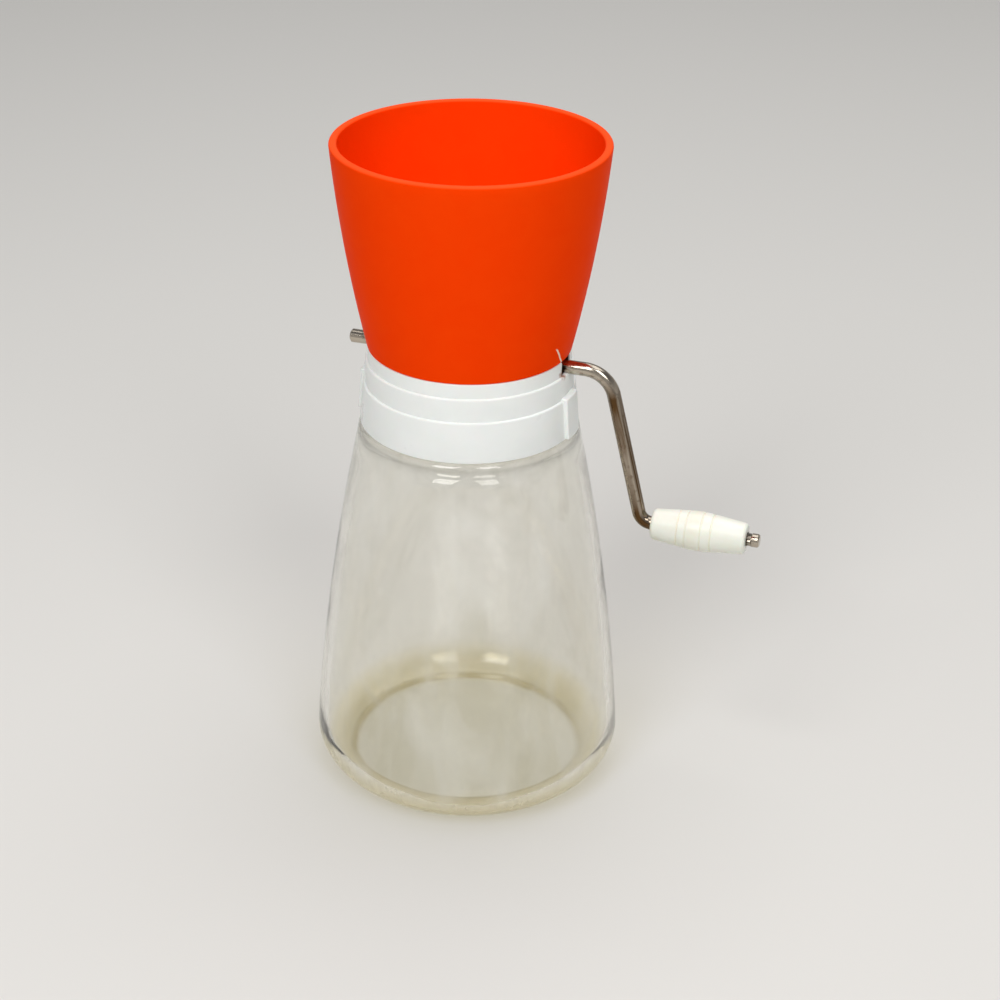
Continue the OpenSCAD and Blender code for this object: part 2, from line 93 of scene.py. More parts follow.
# Jar
jar_r = jar_high.x
heel_h = 11.4
foot_r = 31.0
foot_in_r = 27.0
kick = 0.6
jar_bulge = 1.7
jar_wall = 2.6
floor_z = 2.4
floor_r = 34.0
floor_step, floor_step_w = 1.0, 0.5
inner_heel_h = 11.5
shoulder_z = 110.0
shoulder_r = 30.7
shoulder_round = 2.0
inner_shoulder_h = 8.5
dome_r = 10.0
neck_r = 25.1
bore_r = 22.0
neck_fillet = 1.0
lip_z = jar_high.z
lip_round = 1.2

# Seal
seal_r = seal_high.x
seal_in_r = bore_r - 0.4
seal_edge = 0.2

# Thread on the neck and in the collar
thread_pitch = 4.2
thread_root_w = 2.0
thread_crest_w = 1.0
thread_sink = 0.4
neck_thread_z = 112.6
neck_thread_depth = 1.25
neck_turns = 1.4
collar_thread_z = 112.18
collar_thread_depth = 1.55
collar_turns = 1.2
collar_thread_start = math.radians(144)

# Collar
skirt_z = collar_low.z
skirt_in_r = 27.1
skirt_r = 29.3
skirt_flare = 0.9
mid_r = 28.6
ring_r = 27.9
ring_in_r = 25.9
deck_z = seal_high.z
skirt_drop = 1.2
skirt_top = deck_z - skirt_drop
deck_top = comb_low.z
mid_top = 128.3
collar_top = collar_high.z
band_round = 0.49
brim_round = 0.35
pad_turn = math.radians(4)
pad_half_angle = math.radians(7.5)
pad_r = 30.4
pad_lift = 0.25
pad_z, pad_top = skirt_z + pad_lift, skirt_top + band_round
pad_root_r = skirt_r - 1.1
pad_edge = 0.3
throat_x, throat_y, throat_round = 15.3, 13.4, 4.0
rivet_x, rivet_y = 8.0, 16.6
rivet_hole_r = 1.25
rivet_recess_r, rivet_recess_h = 2.4, 0.9
slot_r = 1.96
# The worn notch reaches forwards from the rod, in the topmost band only
notch_depth, notch_front, notch_back = 1.5, 4.4, 1.9
notch_edge = 0.4
notch_lift = 0.05

# Hopper
hopper_top = hopper_high.z
hopper_top_r = hopper_high.x
hopper_wall = 2.2
hopper_bulge = 0.97
rim_round = 0.7
bowl_fillet, bowl_fillet_lift, bowl_fillet_turn = 1.2, 0.9, 50
spigot_z = hopper_low.z
spigot_r, spigot_in_r = 25.8, 23.8
funnel_top = 141.3
funnel_lip_r = 19.22
funnel_lip_top, funnel_lip_z = 133.3, 131.9
funnel_lip_land = 1.0
funnel_lip_edge = 0.2
funnel_wall = 2.4
# The stress line starts at this y on the foot of the hopper and leans by its slope
stress_y, stress_slope, stress_top = -4.4, -0.845, 138.8

# Crank wire
rod_r = 1.9
rod_chamfer = 0.4
lean = math.radians(14)
bend = math.radians(90) - lean
top_bend_r, low_bend_r = 8.5, 4.0
corner_x = 39.5
crank_throw = shaft_z - spindle_z
flat_depth, flat_half = 0.5, 14.4
flat_w = 6.0
ear_x, ear_len, ear_r = 80.246, 1.3, 2.4
ear_ramp = ear_len / 5
pinch = 0.78

# Handle
grip_r, grip_end_r = 5.5, 4.25
# Shares of the handle's length and of its rise
grip_straight = 0.12
grip_soft = 0.06
grip_round = 1.1
grip_bore_r = 1.96
groove_at = (0.29, 0.38, 0.54, 0.645)
groove_depth, groove_w = 0.16, 0.5

# Rounded edges of the stamped and cut pieces inside the head
comb_edge = wheel_edge = 0.12
rivet_edge = sleeve_edge = 0.15
nut_edge = 0.03

# How far a cutting tool reaches past the face that it cuts
cut_past = 1.0
slot_past_side, slot_past_end = 2.0, 4.0

# How finely round pieces are turned and curves are drawn
TURN_STEPS = 160
GRIP_STEPS = 72
THREAD_STEPS = 72
HOLE_STEPS = 32
PAD_STEPS = 12
WIRE_SIDES = 40
TOP_BEND_STEPS, LOW_BEND_STEPS = 24, 18
SLOT_STEPS = 15
NOTCH_SEGMENTS, PAD_SEGMENTS, THROAT_SEGMENTS = 3, 3, 8
BASE_STEPS, HEEL_STEPS, SIDE_STEPS, INSIDE_STEPS = 6, 14, 30, 26
FLOOR_STEPS, FLOOR_EDGE_STEPS = 4, 8
HOPPER_STEPS, BOWL_STEPS = 24, 20
GRIP_LENGTH_STEPS = 48
# Vertices nearer than this are merged
MERGE = MM / 1000
# Angles in degrees: edges that stay sharp in shading, after a cut and after edges are rounded,
# edges that are rounded, and faces flat enough to each other to be joined
SHARP, SHARP_ROUNDED = 35, 40
ROUNDED = 32
FLAT = 1

# Outlines


def swell(z, p, q, bulge):
    """Radius at height z on the arc from p to q that swells out by bulge at its middle."""
    chord = math.dist(p, q)
    arc_r = (chord * chord / 4 + bulge * bulge) / (2 * bulge)
    outward = ((q[1] - p[1]) / chord, (p[0] - q[0]) / chord)
    centre_r = (p[0] + q[0]) / 2 - outward[0] * (arc_r - bulge)
    centre_z = (p[1] + q[1]) / 2 - outward[1] * (arc_r - bulge)
    return centre_r + math.sqrt(arc_r * arc_r - (z - centre_z) ** 2)


def arc(centre, r, start, end, steps=6):
    """Points on a circular arc between two angles in degrees."""
    points = []
    for i in range(steps + 1):
        a = math.radians(start + (end - start) * i / steps)
        points.append((centre[0] + r * math.cos(a), centre[1] + r * math.sin(a)))
    return points


def between(low, high, steps):
    """Values from low to high in even steps, without the two ends."""
    return [low + (high - low) * i / steps for i in range(1, steps)]


def jar_side(z):
    """Outer radius of the jar's wall at height z."""
    return swell(z, (jar_r, heel_h), (shoulder_r, shoulder_z - shoulder_round), jar_bulge)


def jar_outline():
    """From the middle of the base, up the outside, over the lip and down to the middle of the floor."""
    points = [(0, kick)]
    points += [(r, kick * (1 - (r / foot_in_r) ** 2)) for r in between(0, foot_in_r, BASE_STEPS)]
    points.append((foot_in_r, 0))
    for i in range(HEEL_STEPS + 1):
        t = math.radians(90 * i / HEEL_STEPS)
        points.append((foot_r + (jar_r - foot_r) * math.sin(t), heel_h * (1 - math.cos(t))))
    points += [(jar_side(z), z) for z in between(heel_h, shoulder_z - shoulder_round, SIDE_STEPS)]
    points += arc((shoulder_r - shoulder_round, shoulder_z - shoulder_round), shoulder_round, 0, 90)
    points += arc((neck_r + neck_fillet, shoulder_z + neck_fillet), neck_fillet, 270, 180)
    points += arc((neck_r - lip_round, lip_z - lip_round), lip_round, 0, 90)
    points += arc((bore_r + lip_round, lip_z - lip_round), lip_round, 90, 180)
    dome_z = shoulder_z - inner_shoulder_h
    wall_r = jar_side(dome_z) - jar_wall
    tilt = math.atan(jar_side(dome_z - 0.5) - jar_side(dome_z + 0.5))
    dome = (wall_r - dome_r * math.cos(tilt), dome_z - dome_r * math.sin(tilt))
    mouth = math.degrees(math.acos((bore_r - dome[0]) / dome_r))
    points += arc(dome, dome_r, mouth, math.degrees(tilt), HEEL_STEPS)
    heel_z = floor_z + inner_heel_h
    points += [(jar_side(z) - jar_wall, z) for z in between(dome_z, heel_z, INSIDE_STEPS)]
    heel_r = jar_side(heel_z) - jar_wall
    step_r, step_z = floor_r + floor_step_w, floor_z + floor_step
    for i in range(HEEL_STEPS):
        t = math.radians(90 - 90 * i / HEEL_STEPS)
        r = step_r + (heel_r - step_r) * math.sin(t)
        points.append((r, step_z + (heel_z - step_z) * (1 - math.cos(t))))
    # A soft step runs round the edge of the floor
    for i in range(FLOOR_EDGE_STEPS + 1):
        u = i / FLOOR_EDGE_STEPS
        sink = floor_step * u * u * (3 - 2 * u)
        points.append((step_r - 2 * floor_step_w * u, step_z - sink))
    points += [(r, floor_z) for r in between(step_r - 2 * floor_step_w, 0, FLOOR_STEPS)]
    points.append((0, floor_z))
    return points


def collar_outline():
    """From the middle of the deck's underside, round the skirt and the three bands, to the deck's top."""
    return (
        [(0, deck_z), (skirt_in_r, deck_z), (skirt_in_r, skirt_z + brim_round)]
        + [(skirt_in_r + brim_round, skirt_z)]
        + arc((skirt_r + skirt_flare - brim_round, skirt_z + brim_round), brim_round, 270, 360)
        + arc((skirt_r - band_round, skirt_top - band_round), band_round, 0, 90)
        + [(mid_r, skirt_top)]
        + arc((mid_r - band_round, mid_top - band_round), band_round, 0, 90)
        + [(ring_r, mid_top)]
        + arc((ring_r - brim_round, collar_top - brim_round), brim_round, 0, 90)
        + arc((ring_in_r + brim_round, collar_top - brim_round), brim_round, 90, 180)
        + [(ring_in_r, deck_top), (0, deck_top)]
    )


def hopper_side(z, inset):
    """Radius of the hopper's wall at height z, inset from its outside."""
    foot = (ring_r - inset, collar_top)
    rim = (hopper_top_r - inset, hopper_top - rim_round)
    return swell(z, foot, rim, hopper_bulge)


def hopper_outline():
    """Once round the section: outside, rim, bowl, funnel floor, spigot and the seat on the collar."""
    rim_z = hopper_top - rim_round
    bowl_r = hopper_side(funnel_top, hopper_wall)
    share = (spigot_in_r - funnel_lip_r) / (bowl_r - funnel_lip_r)
    under_z = funnel_lip_top + (funnel_top - funnel_lip_top) * share - funnel_wall
    foot_z = collar_top + brim_round
    return (
        [(ring_r - brim_round, collar_top), (hopper_side(foot_z, 0), foot_z)]
        + [(hopper_side(z, 0), z) for z in between(collar_top, rim_z, HOPPER_STEPS)]
        + arc((hopper_top_r - rim_round, rim_z), rim_round, 0, 90)
        + arc((hopper_top_r - hopper_wall + rim_round, rim_z), rim_round, 90, 180)
        + [(hopper_side(z, hopper_wall), z) for z in between(rim_z, funnel_top, BOWL_STEPS)]
        + arc((bowl_r - bowl_fillet, funnel_top + bowl_fillet_lift), bowl_fillet, 0, -bowl_fillet_turn)
        + [(funnel_lip_r + funnel_lip_edge, funnel_lip_top)]
        + [(funnel_lip_r, funnel_lip_top - funnel_lip_edge)]
        + [(funnel_lip_r, funnel_lip_z), (funnel_lip_r + funnel_lip_land, funnel_lip_z)]
        + [(spigot_in_r, under_z), (spigot_in_r, spigot_z), (spigot_r, spigot_z), (spigot_r, collar_top)]
    )


def grip_side(s, length):
    """Radius of the handle at distance s along it: two cones with a softened straight length between."""
    rise = (1 - abs(2 * s / length - 1)) / (1 - grip_straight)
    if abs(rise - 1) < grip_soft:
        rise -= (rise - 1 + grip_soft) ** 2 / (4 * grip_soft)
    return grip_end_r + (grip_r - grip_end_r) * min(1, rise)


def grip_outline():
    """Along the handle's section: radius first, then the distance from its inner end."""
    length = grip_high.x - grip_low.x
    end_r = grip_side(grip_round, length) - grip_round
    points = [(grip_bore_r, 0)] + arc((end_r, grip_round), grip_round, 270, 360)
    stations = list(between(grip_round, length - grip_round, GRIP_LENGTH_STEPS))
    grooves = [share * length for share in groove_at]
    stations = [s for s in stations if all(abs(s - g) > groove_w for g in grooves)]
    for g in grooves:
        stations += [g - groove_w / 2, g - groove_w / 5, g + groove_w / 5, g + groove_w / 2]
    for s in sorted(stations):
        sunk = any(abs(s - g) < groove_w / 3 for g in grooves)
        points.append((grip_side(s, length) - (groove_depth if sunk else 0), s))
    return points + arc((end_r, length - grip_round), grip_round, 0, 90) + [(grip_bore_r, length)]


# Modelling by hand: small helpers round the operators


def deselect():
    """Leaves nothing selected, so that an operator acts only on what comes next."""
    bpy.ops.object.select_all(action="DESELECT")


def pick(piece):
    """Selects one piece and makes it the active one."""
    deselect()
    piece.select_set(True)
    bpy.context.view_layer.objects.active = piece


def draw_chain(name, places, closed=False):
    """A chain of edges through places in millimetres, drawn by extruding one vertex along them."""
    deselect()
    bpy.ops.mesh.primitive_plane_add(size=MM)
    piece = bpy.context.object
    piece.name = piece.data.name = name
    places = [Vector(place) * MM for place in places]
    bpy.ops.object.mode_set(mode="EDIT")
    bpy.ops.mesh.select_all(action="SELECT")
    bpy.ops.mesh.merge(type="CENTER")
    bpy.ops.transform.translate(value=places[0])
    for here, there in zip(places, places[1:] + places[:1] * closed):
        bpy.ops.mesh.extrude_region_move(TRANSFORM_OT_translate={"value": there - here})
    bpy.ops.mesh.select_all(action="SELECT")
    bpy.ops.mesh.remove_doubles(threshold=MERGE)
    return piece


def close_up(piece):
    """Merges the seam, turns the faces outwards and leaves edit mode with smooth shading."""
    bpy.ops.mesh.select_all(action="SELECT")
    bpy.ops.mesh.remove_doubles(threshold=MERGE)
    bpy.ops.mesh.normals_make_consistent(inside=False)
    bpy.ops.object.mode_set(mode="OBJECT")
    bpy.ops.object.shade_smooth_by_angle(angle=math.radians(SHARP))
    return piece


def lathe(name, outline, closed=False, steps=TURN_STEPS, centre=(0, 0)):
    """Turns an outline of radius and height about the upright axis at centre."""
    places = [(centre[0] + r, centre[1], z) for r, z in outline]
    piece = draw_chain(name, places, closed)
    bpy.ops.mesh.select_all(action="SELECT")
    axle = Vector((*centre, 0)) * MM
    bpy.ops.mesh.spin(steps=steps, angle=math.tau, center=axle, axis=(0, 0, 1))
    return close_up(piece)


def slab(name, places, depth):
    """Fills a closed outline and extrudes it by depth, a vector in millimetres."""
    piece = draw_chain(name, places, closed=True)
    bpy.ops.mesh.select_all(action="SELECT")
    bpy.ops.mesh.edge_face_add()
    bpy.ops.mesh.extrude_region_move(TRANSFORM_OT_translate={"value": Vector(depth) * MM})
    return close_up(piece)


def apply_modifier(piece, kind, **settings):
    """Adds a modifier with its settings and applies it."""
    pick(piece)
    modifier = piece.modifiers.new(kind.title(), kind)
    for key, value in settings.items():
        setattr(modifier, key, value)
    bpy.ops.object.modifier_apply(modifier=modifier.name)
    return piece


def soften(piece, width, segments=2):
    """Rounds every edge that is sharp enough."""
    apply_modifier(
        piece, "BEVEL", width=width * MM, segments=segments, limit_method="ANGLE",
        angle_limit=math.radians(ROUNDED), use_clamp_overlap=True,
    )
    bpy.ops.object.shade_smooth_by_angle(angle=math.radians(SHARP_ROUNDED))
    return piece


def combine(piece, tool, operation):
    """Cuts the tool out of the piece or joins it on, and uses the tool up."""
    apply_modifier(piece, "BOOLEAN", operation=operation, solver="EXACT", object=tool)
    bpy.data.objects.remove(tool)
    bpy.ops.object.shade_smooth_by_angle(angle=math.radians(SHARP))
    return piece


def thread(name, root_r, depth, turns, z, start, inward=False):
    """A screw ridge, swept from its four-cornered section by a Screw modifier."""
    way = -1 if inward else 1
    corners = [
        (root_r - way * thread_sink, z - thread_root_w / 2),
        (root_r + way * depth, z - thread_crest_w / 2),
        (root_r + way * depth, z + thread_crest_w / 2),
        (root_r - way * thread_sink, z + thread_root_w / 2),
    ]
    places = [(r * math.cos(start), r * math.sin(start), h) for r, h in corners]
    ridge = draw_chain(name, places, closed=True)
    bpy.ops.object.mode_set(mode="OBJECT")
    steps = round(turns * THREAD_STEPS)
    apply_modifier(
        ridge, "SCREW", axis="Z", angle=math.tau * turns, screw_offset=thread_pitch * turns * MM,
        steps=steps, render_steps=steps, use_smooth_shade=False,
    )
    bpy.ops.object.mode_set(mode="EDIT")
    bpy.ops.mesh.select_all(action="SELECT")
    bpy.ops.mesh.fill_holes(sides=4)
    return close_up(ridge)


def dressed_copy(node, name, round_w):
    """A copy of a stamped or cut CAD piece with its edges slightly rounded."""
    pick(frame["nodes"][node])
    bpy.ops.object.duplicate()
    piece = bpy.context.object
    bpy.ops.object.parent_clear(type="CLEAR_KEEP_TRANSFORM")
    piece.name = piece.data.name = name
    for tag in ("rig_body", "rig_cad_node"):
        del piece[tag]
    piece.data.materials.clear()
    bpy.ops.object.mode_set(mode="EDIT")
    bpy.ops.mesh.select_all(action="SELECT")
    bpy.ops.mesh.remove_doubles(threshold=MERGE)
    bpy.ops.mesh.dissolve_limited(angle_limit=math.radians(FLAT))
    bpy.ops.object.mode_set(mode="OBJECT")
    return soften(piece, round_w)


def shifted_copy(piece, name, shift):
    """A copy with its own mesh, moved in the mesh by shift in millimetres."""
    pick(piece)
    bpy.ops.object.duplicate()
    copy = bpy.context.object
    copy.name = copy.data.name = name
    bpy.ops.object.mode_set(mode="EDIT")
    bpy.ops.mesh.select_all(action="SELECT")
    bpy.ops.transform.translate(value=Vector(shift) * MM)
    bpy.ops.object.mode_set(mode="OBJECT")
    return copy


def finish_piece(piece, body, slot, material, *nodes):
    """Gives a piece its material and its body, and hides the CAD nodes it stands for. The slot is not used.
    """
    piece.data.materials.clear()
    piece.data.materials.append(material)
    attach(piece, body)
    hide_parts(*nodes)


# Materials


def colour(code):
    """Linear RGBA of an sRGB hex colour."""
    parts = [int(code[i:i + 2], 16) / 255 for i in (1, 3, 5)]
    return [c / 12.92 if c <= 0.04045 else ((c + 0.055) / 1.055) ** 2.4 for c in parts] + [1]


def per_metre(size):
    """Scale of a pattern whose features are size millimetres wide."""
    return 1 / (size * MM)


def add_node(material, kind, inputs, **settings):
    """Adds a node, or feeds an existing one, with settings and with values or links for its inputs."""
    nodes, links = material.node_tree.nodes, material.node_tree.links
    node = nodes[kind] if kind in nodes else nodes.new(kind)
    for key, value in settings.items():
        setattr(node, key, value)
    for socket, value in inputs.items():
        if isinstance(value, bpy.types.NodeSocket):
            links.new(value, node.inputs[socket])
        else:
            node.inputs[socket].default_value = value
    return node


def new_material(name):
    """A material with nodes, and the Object coordinates that its patterns read."""
    material = bpy.data.materials.new(name)
    material.use_nodes = True
    place = add_node(material, "ShaderNodeTexCoord", {}).outputs["Object"]
    return material, place


SURFACE = "Principled BSDF"
OUTPUT = "Material Output"
# Places of the two colours and of the result among a colour Mix node's sockets
MIX_A, MIX_B, MIXED = 6, 7, 2


def off_shaft(m, place, axes):
    """Distance from the shaft's axis."""
    on_axis = add_node(m, "ShaderNodeCombineXYZ", {"X": axes.outputs["X"], "Y": 0.0, "Z": shaft_z * MM})
    distance = add_node(m, "ShaderNodeVectorMath", {0: place, 1: on_axis.outputs[0]}, operation="DISTANCE")
    return distance.outputs["Value"]


def off_middle(m, axes):
    """Distance from the upright axis that the jar, the collar and the hopper are turned about."""
    flat = add_node(m, "ShaderNodeCombineXYZ", {"X": axes.outputs["X"], "Y": axes.outputs["Y"], "Z": 0.0})
    return add_node(m, "ShaderNodeVectorMath", {0: flat.outputs[0]}, operation="LENGTH").outputs["Value"]


def moulded_orange_polystyrene():
    """Moulded polystyrene: saturated orange, a dull satin skin, a worn rim with a painted highlight,
    painted shade round the top of the slot, and one pale stress line.
    """
    scuff_w, ripple_w, ripple_h = 9, 26, 0.8
    rim_wear_and_highlight_from, rim_wear_and_highlight_full = hopper_top - 0.6, hopper_top - 0.1
    line_half, line_fade, line_end = 0.2, 0.42, 0.8
    line_sway, line_sway_w = 0.5, 2.4
    slot_shade_r, slot_shade_end_r = 2.2, 3.6
    m, place = new_material("moulded_orange_polystyrene")
    axes = add_node(m, "ShaderNodeSeparateXYZ", {"Vector": place})
    scuff = add_node(m, "ShaderNodeTexNoise", {
        "Vector": place, "Scale": per_metre(scuff_w), "Detail": 6.0, "Roughness": 0.62, "Distortion": 0.6})
    gloss = add_node(m, "ShaderNodeMapRange", {
        "Value": scuff.outputs["Fac"], "From Min": 0.35, "From Max": 0.75, "To Min": 0.34, "To Max": 0.46})
    skin = add_node(m, "ShaderNodeMix", {
        0: scuff.outputs["Fac"], MIX_A: colour("#ff4404"), MIX_B: colour("#fd3c00")}, data_type="RGBA")
    # The handled rim is worn a little paler, and this paler colour also serves as a painted highlight along
    # the rim
    rim = add_node(m, "ShaderNodeMapRange", {
        "Value": axes.outputs["Z"], "From Min": rim_wear_and_highlight_from * MM, "From Max": rim_wear_and_highlight_full * MM,
        "To Min": 0.0, "To Max": 0.22}, interpolation_type="SMOOTHSTEP")
    skin = add_node(m, "ShaderNodeMix", {
        0: rim.outputs[0], MIX_A: skin.outputs[MIXED], MIX_B: colour("#ff7a4c")}, data_type="RGBA")
    # A pale stress line climbs from the slot where the crank leaves the hopper
    wander = add_node(m, "ShaderNodeTexNoise", {
        "Vector": place, "Scale": per_metre(line_sway_w), "Detail": 2.0})
    line_y = add_node(m, "ShaderNodeMath", {
        0: axes.outputs["Z"], 1: stress_slope, 2: (stress_y - stress_slope * collar_top) * MM},
        operation="MULTIPLY_ADD")
    near = add_node(m, "ShaderNodeMath", {0: axes.outputs["Y"], 1: line_y.outputs[0]}, operation="SUBTRACT")
    bent = add_node(m, "ShaderNodeMath", {
        0: wander.outputs["Fac"], 1: line_sway * MM, 2: near.outputs[0]}, operation="MULTIPLY_ADD")
    gap = add_node(m, "ShaderNodeMath", {0: bent.outputs[0]}, operation="ABSOLUTE")
    thin = add_node(m, "ShaderNodeMapRange", {
        "Value": gap.outputs[0], "From Min": line_half * MM, "From Max": line_fade * MM,
        "To Min": 1.0, "To Max": 0.0})
    low = add_node(m, "ShaderNodeMapRange", {
        "Value": axes.outputs["Z"], "From Min": (stress_top - line_end) * MM, "From Max": stress_top * MM,
        "To Min": 1.0, "To Max": 0.0})
    right = add_node(m, "ShaderNodeMath", {0: axes.outputs["X"], 1: 0.0}, operation="GREATER_THAN")
    drawn = add_node(m, "ShaderNodeMath", {0: thin.outputs[0], 1: low.outputs[0]}, operation="MULTIPLY")
    drawn = add_node(m, "ShaderNodeMath", {0: drawn.outputs[0], 1: right.outputs[0]}, operation="MULTIPLY")
    stressed = add_node(m, "ShaderNodeMix", {
        0: drawn.outputs[0], MIX_A: skin.outputs[MIXED], MIX_B: colour("#ffe6d0")}, data_type="RGBA")
    # Painted shade darkens the orange round the top of the slot, where the crank enters the hopper
    slot_shade = add_node(m, "ShaderNodeMapRange", {
        "Value": off_shaft(m, place, axes), "From Min": slot_shade_r * MM, "From Max": slot_shade_end_r * MM,
        "To Min": 0.9, "To Max": 0.0})
    slot_shade = add_node(m, "ShaderNodeMath", {
        0: slot_shade.outputs[0], 1: right.outputs[0]}, operation="MULTIPLY")
    slot_shaded = add_node(m, "ShaderNodeMix", {
        0: slot_shade.outputs[0], MIX_A: stressed.outputs[MIXED], MIX_B: colour("#4a1606")}, data_type="RGBA")
    ripple = add_node(m, "ShaderNodeTexNoise", {
        "Vector": place, "Scale": per_metre(ripple_w), "Detail": 2.0})
    dent = add_node(m, "ShaderNodeBump", {
        "Height": ripple.outputs["Fac"], "Strength": 0.12, "Distance": ripple_h * MM})
    add_node(m, SURFACE, {
        "Base Color": slot_shaded.outputs[MIXED], "Roughness": gloss.outputs[0], "IOR": 1.5,
        "Specular IOR Level": 0.004, "Normal": dent.outputs["Normal"]})
    return m


def moulded_white_polypropylene():
    """Moulded polypropylene: cool white, a broad soft sheen, with rust and painted shade in the notch by
    the crank.
    """
    mottle_w, patch_w, skin_depth = 11, 1.8, 1.5
    rust_place = Vector((ring_r, -notch_front, mid_top + 0.6))
    rust_r, rust_end_r = 0.5, 3.0
    notch_shade_r, notch_shade_end_r = 4.6, 5.4
    inside_full, inside_from = ring_r - 0.5, ring_r - 0.1
    m, place = new_material("moulded_white_polypropylene")
    mottle = add_node(m, "ShaderNodeTexNoise", {
        "Vector": place, "Scale": per_metre(mottle_w), "Detail": 5.0, "Roughness": 0.6})
    skin = add_node(m, "ShaderNodeMix", {
        0: mottle.outputs["Fac"], MIX_A: colour("#f6f8f6"), MIX_B: colour("#ecf0ed")}, data_type="RGBA")
    # Rust has spread from the front corner of the notch
    notch = add_node(m, "ShaderNodeVectorMath", {
        0: place, 1: rust_place * MM}, operation="DISTANCE")
    spread = add_node(m, "ShaderNodeMapRange", {
        "Value": notch.outputs["Value"], "From Min": rust_r * MM, "From Max": rust_end_r * MM,
        "To Min": 1.0, "To Max": 0.0})
    patchy = add_node(m, "ShaderNodeTexNoise", {
        "Vector": place, "Scale": per_metre(patch_w), "Detail": 4.0})
    stain = add_node(m, "ShaderNodeMath", {
        0: spread.outputs[0], 1: patchy.outputs["Fac"]}, operation="MULTIPLY", use_clamp=True)
    stain = add_node(m, "ShaderNodeMapRange", {
        "Value": stain.outputs[0], "From Min": 0.22, "From Max": 0.5, "To Min": 0.0, "To Max": 0.85})
    rust_and_shade = add_node(m, "ShaderNodeMix", {
        0: stain.outputs[0], MIX_A: skin.outputs[MIXED], MIX_B: colour("#94582c")}, data_type="RGBA")
    # The notch's faces, which lie behind the outer face, are painted very dark as shade
    axes = add_node(m, "ShaderNodeSeparateXYZ", {"Vector": place})
    behind = add_node(m, "ShaderNodeMapRange", {
        "Value": off_middle(m, axes), "From Min": inside_full * MM, "From Max": inside_from * MM,
        "To Min": 1.0, "To Max": 0.0})
    notch_shade = add_node(m, "ShaderNodeMapRange", {
        "Value": off_shaft(m, place, axes), "From Min": notch_shade_r * MM, "From Max": notch_shade_end_r * MM,
        "To Min": 1.0, "To Max": 0.0})
    notch_shade = add_node(m, "ShaderNodeMath", {0: notch_shade.outputs[0], 1: behind.outputs[0]}, operation="MULTIPLY")
    crank_side = add_node(m, "ShaderNodeMath", {0: axes.outputs["X"], 1: 0.0}, operation="GREATER_THAN")
    notch_shade = add_node(m, "ShaderNodeMath", {
        0: notch_shade.outputs[0], 1: crank_side.outputs[0]}, operation="MULTIPLY", use_clamp=True)
    rust_and_shade = add_node(m, "ShaderNodeMix", {
        0: notch_shade.outputs[0], MIX_A: rust_and_shade.outputs[MIXED], MIX_B: colour("#2e1c10")}, data_type="RGBA")
    sheen = add_node(m, "ShaderNodeMapRange", {
        "Value": mottle.outputs["Fac"], "From Min": 0.3, "From Max": 0.7, "To Min": 0.26, "To Max": 0.4})
    add_node(m, SURFACE, {
        "Base Color": rust_and_shade.outputs[MIXED], "Roughness": sheen.outputs[0], "IOR": 1.49,
        "Specular IOR Level": 0.3, "Subsurface Weight": 0.08, "Subsurface Scale": skin_depth * MM})
    return m


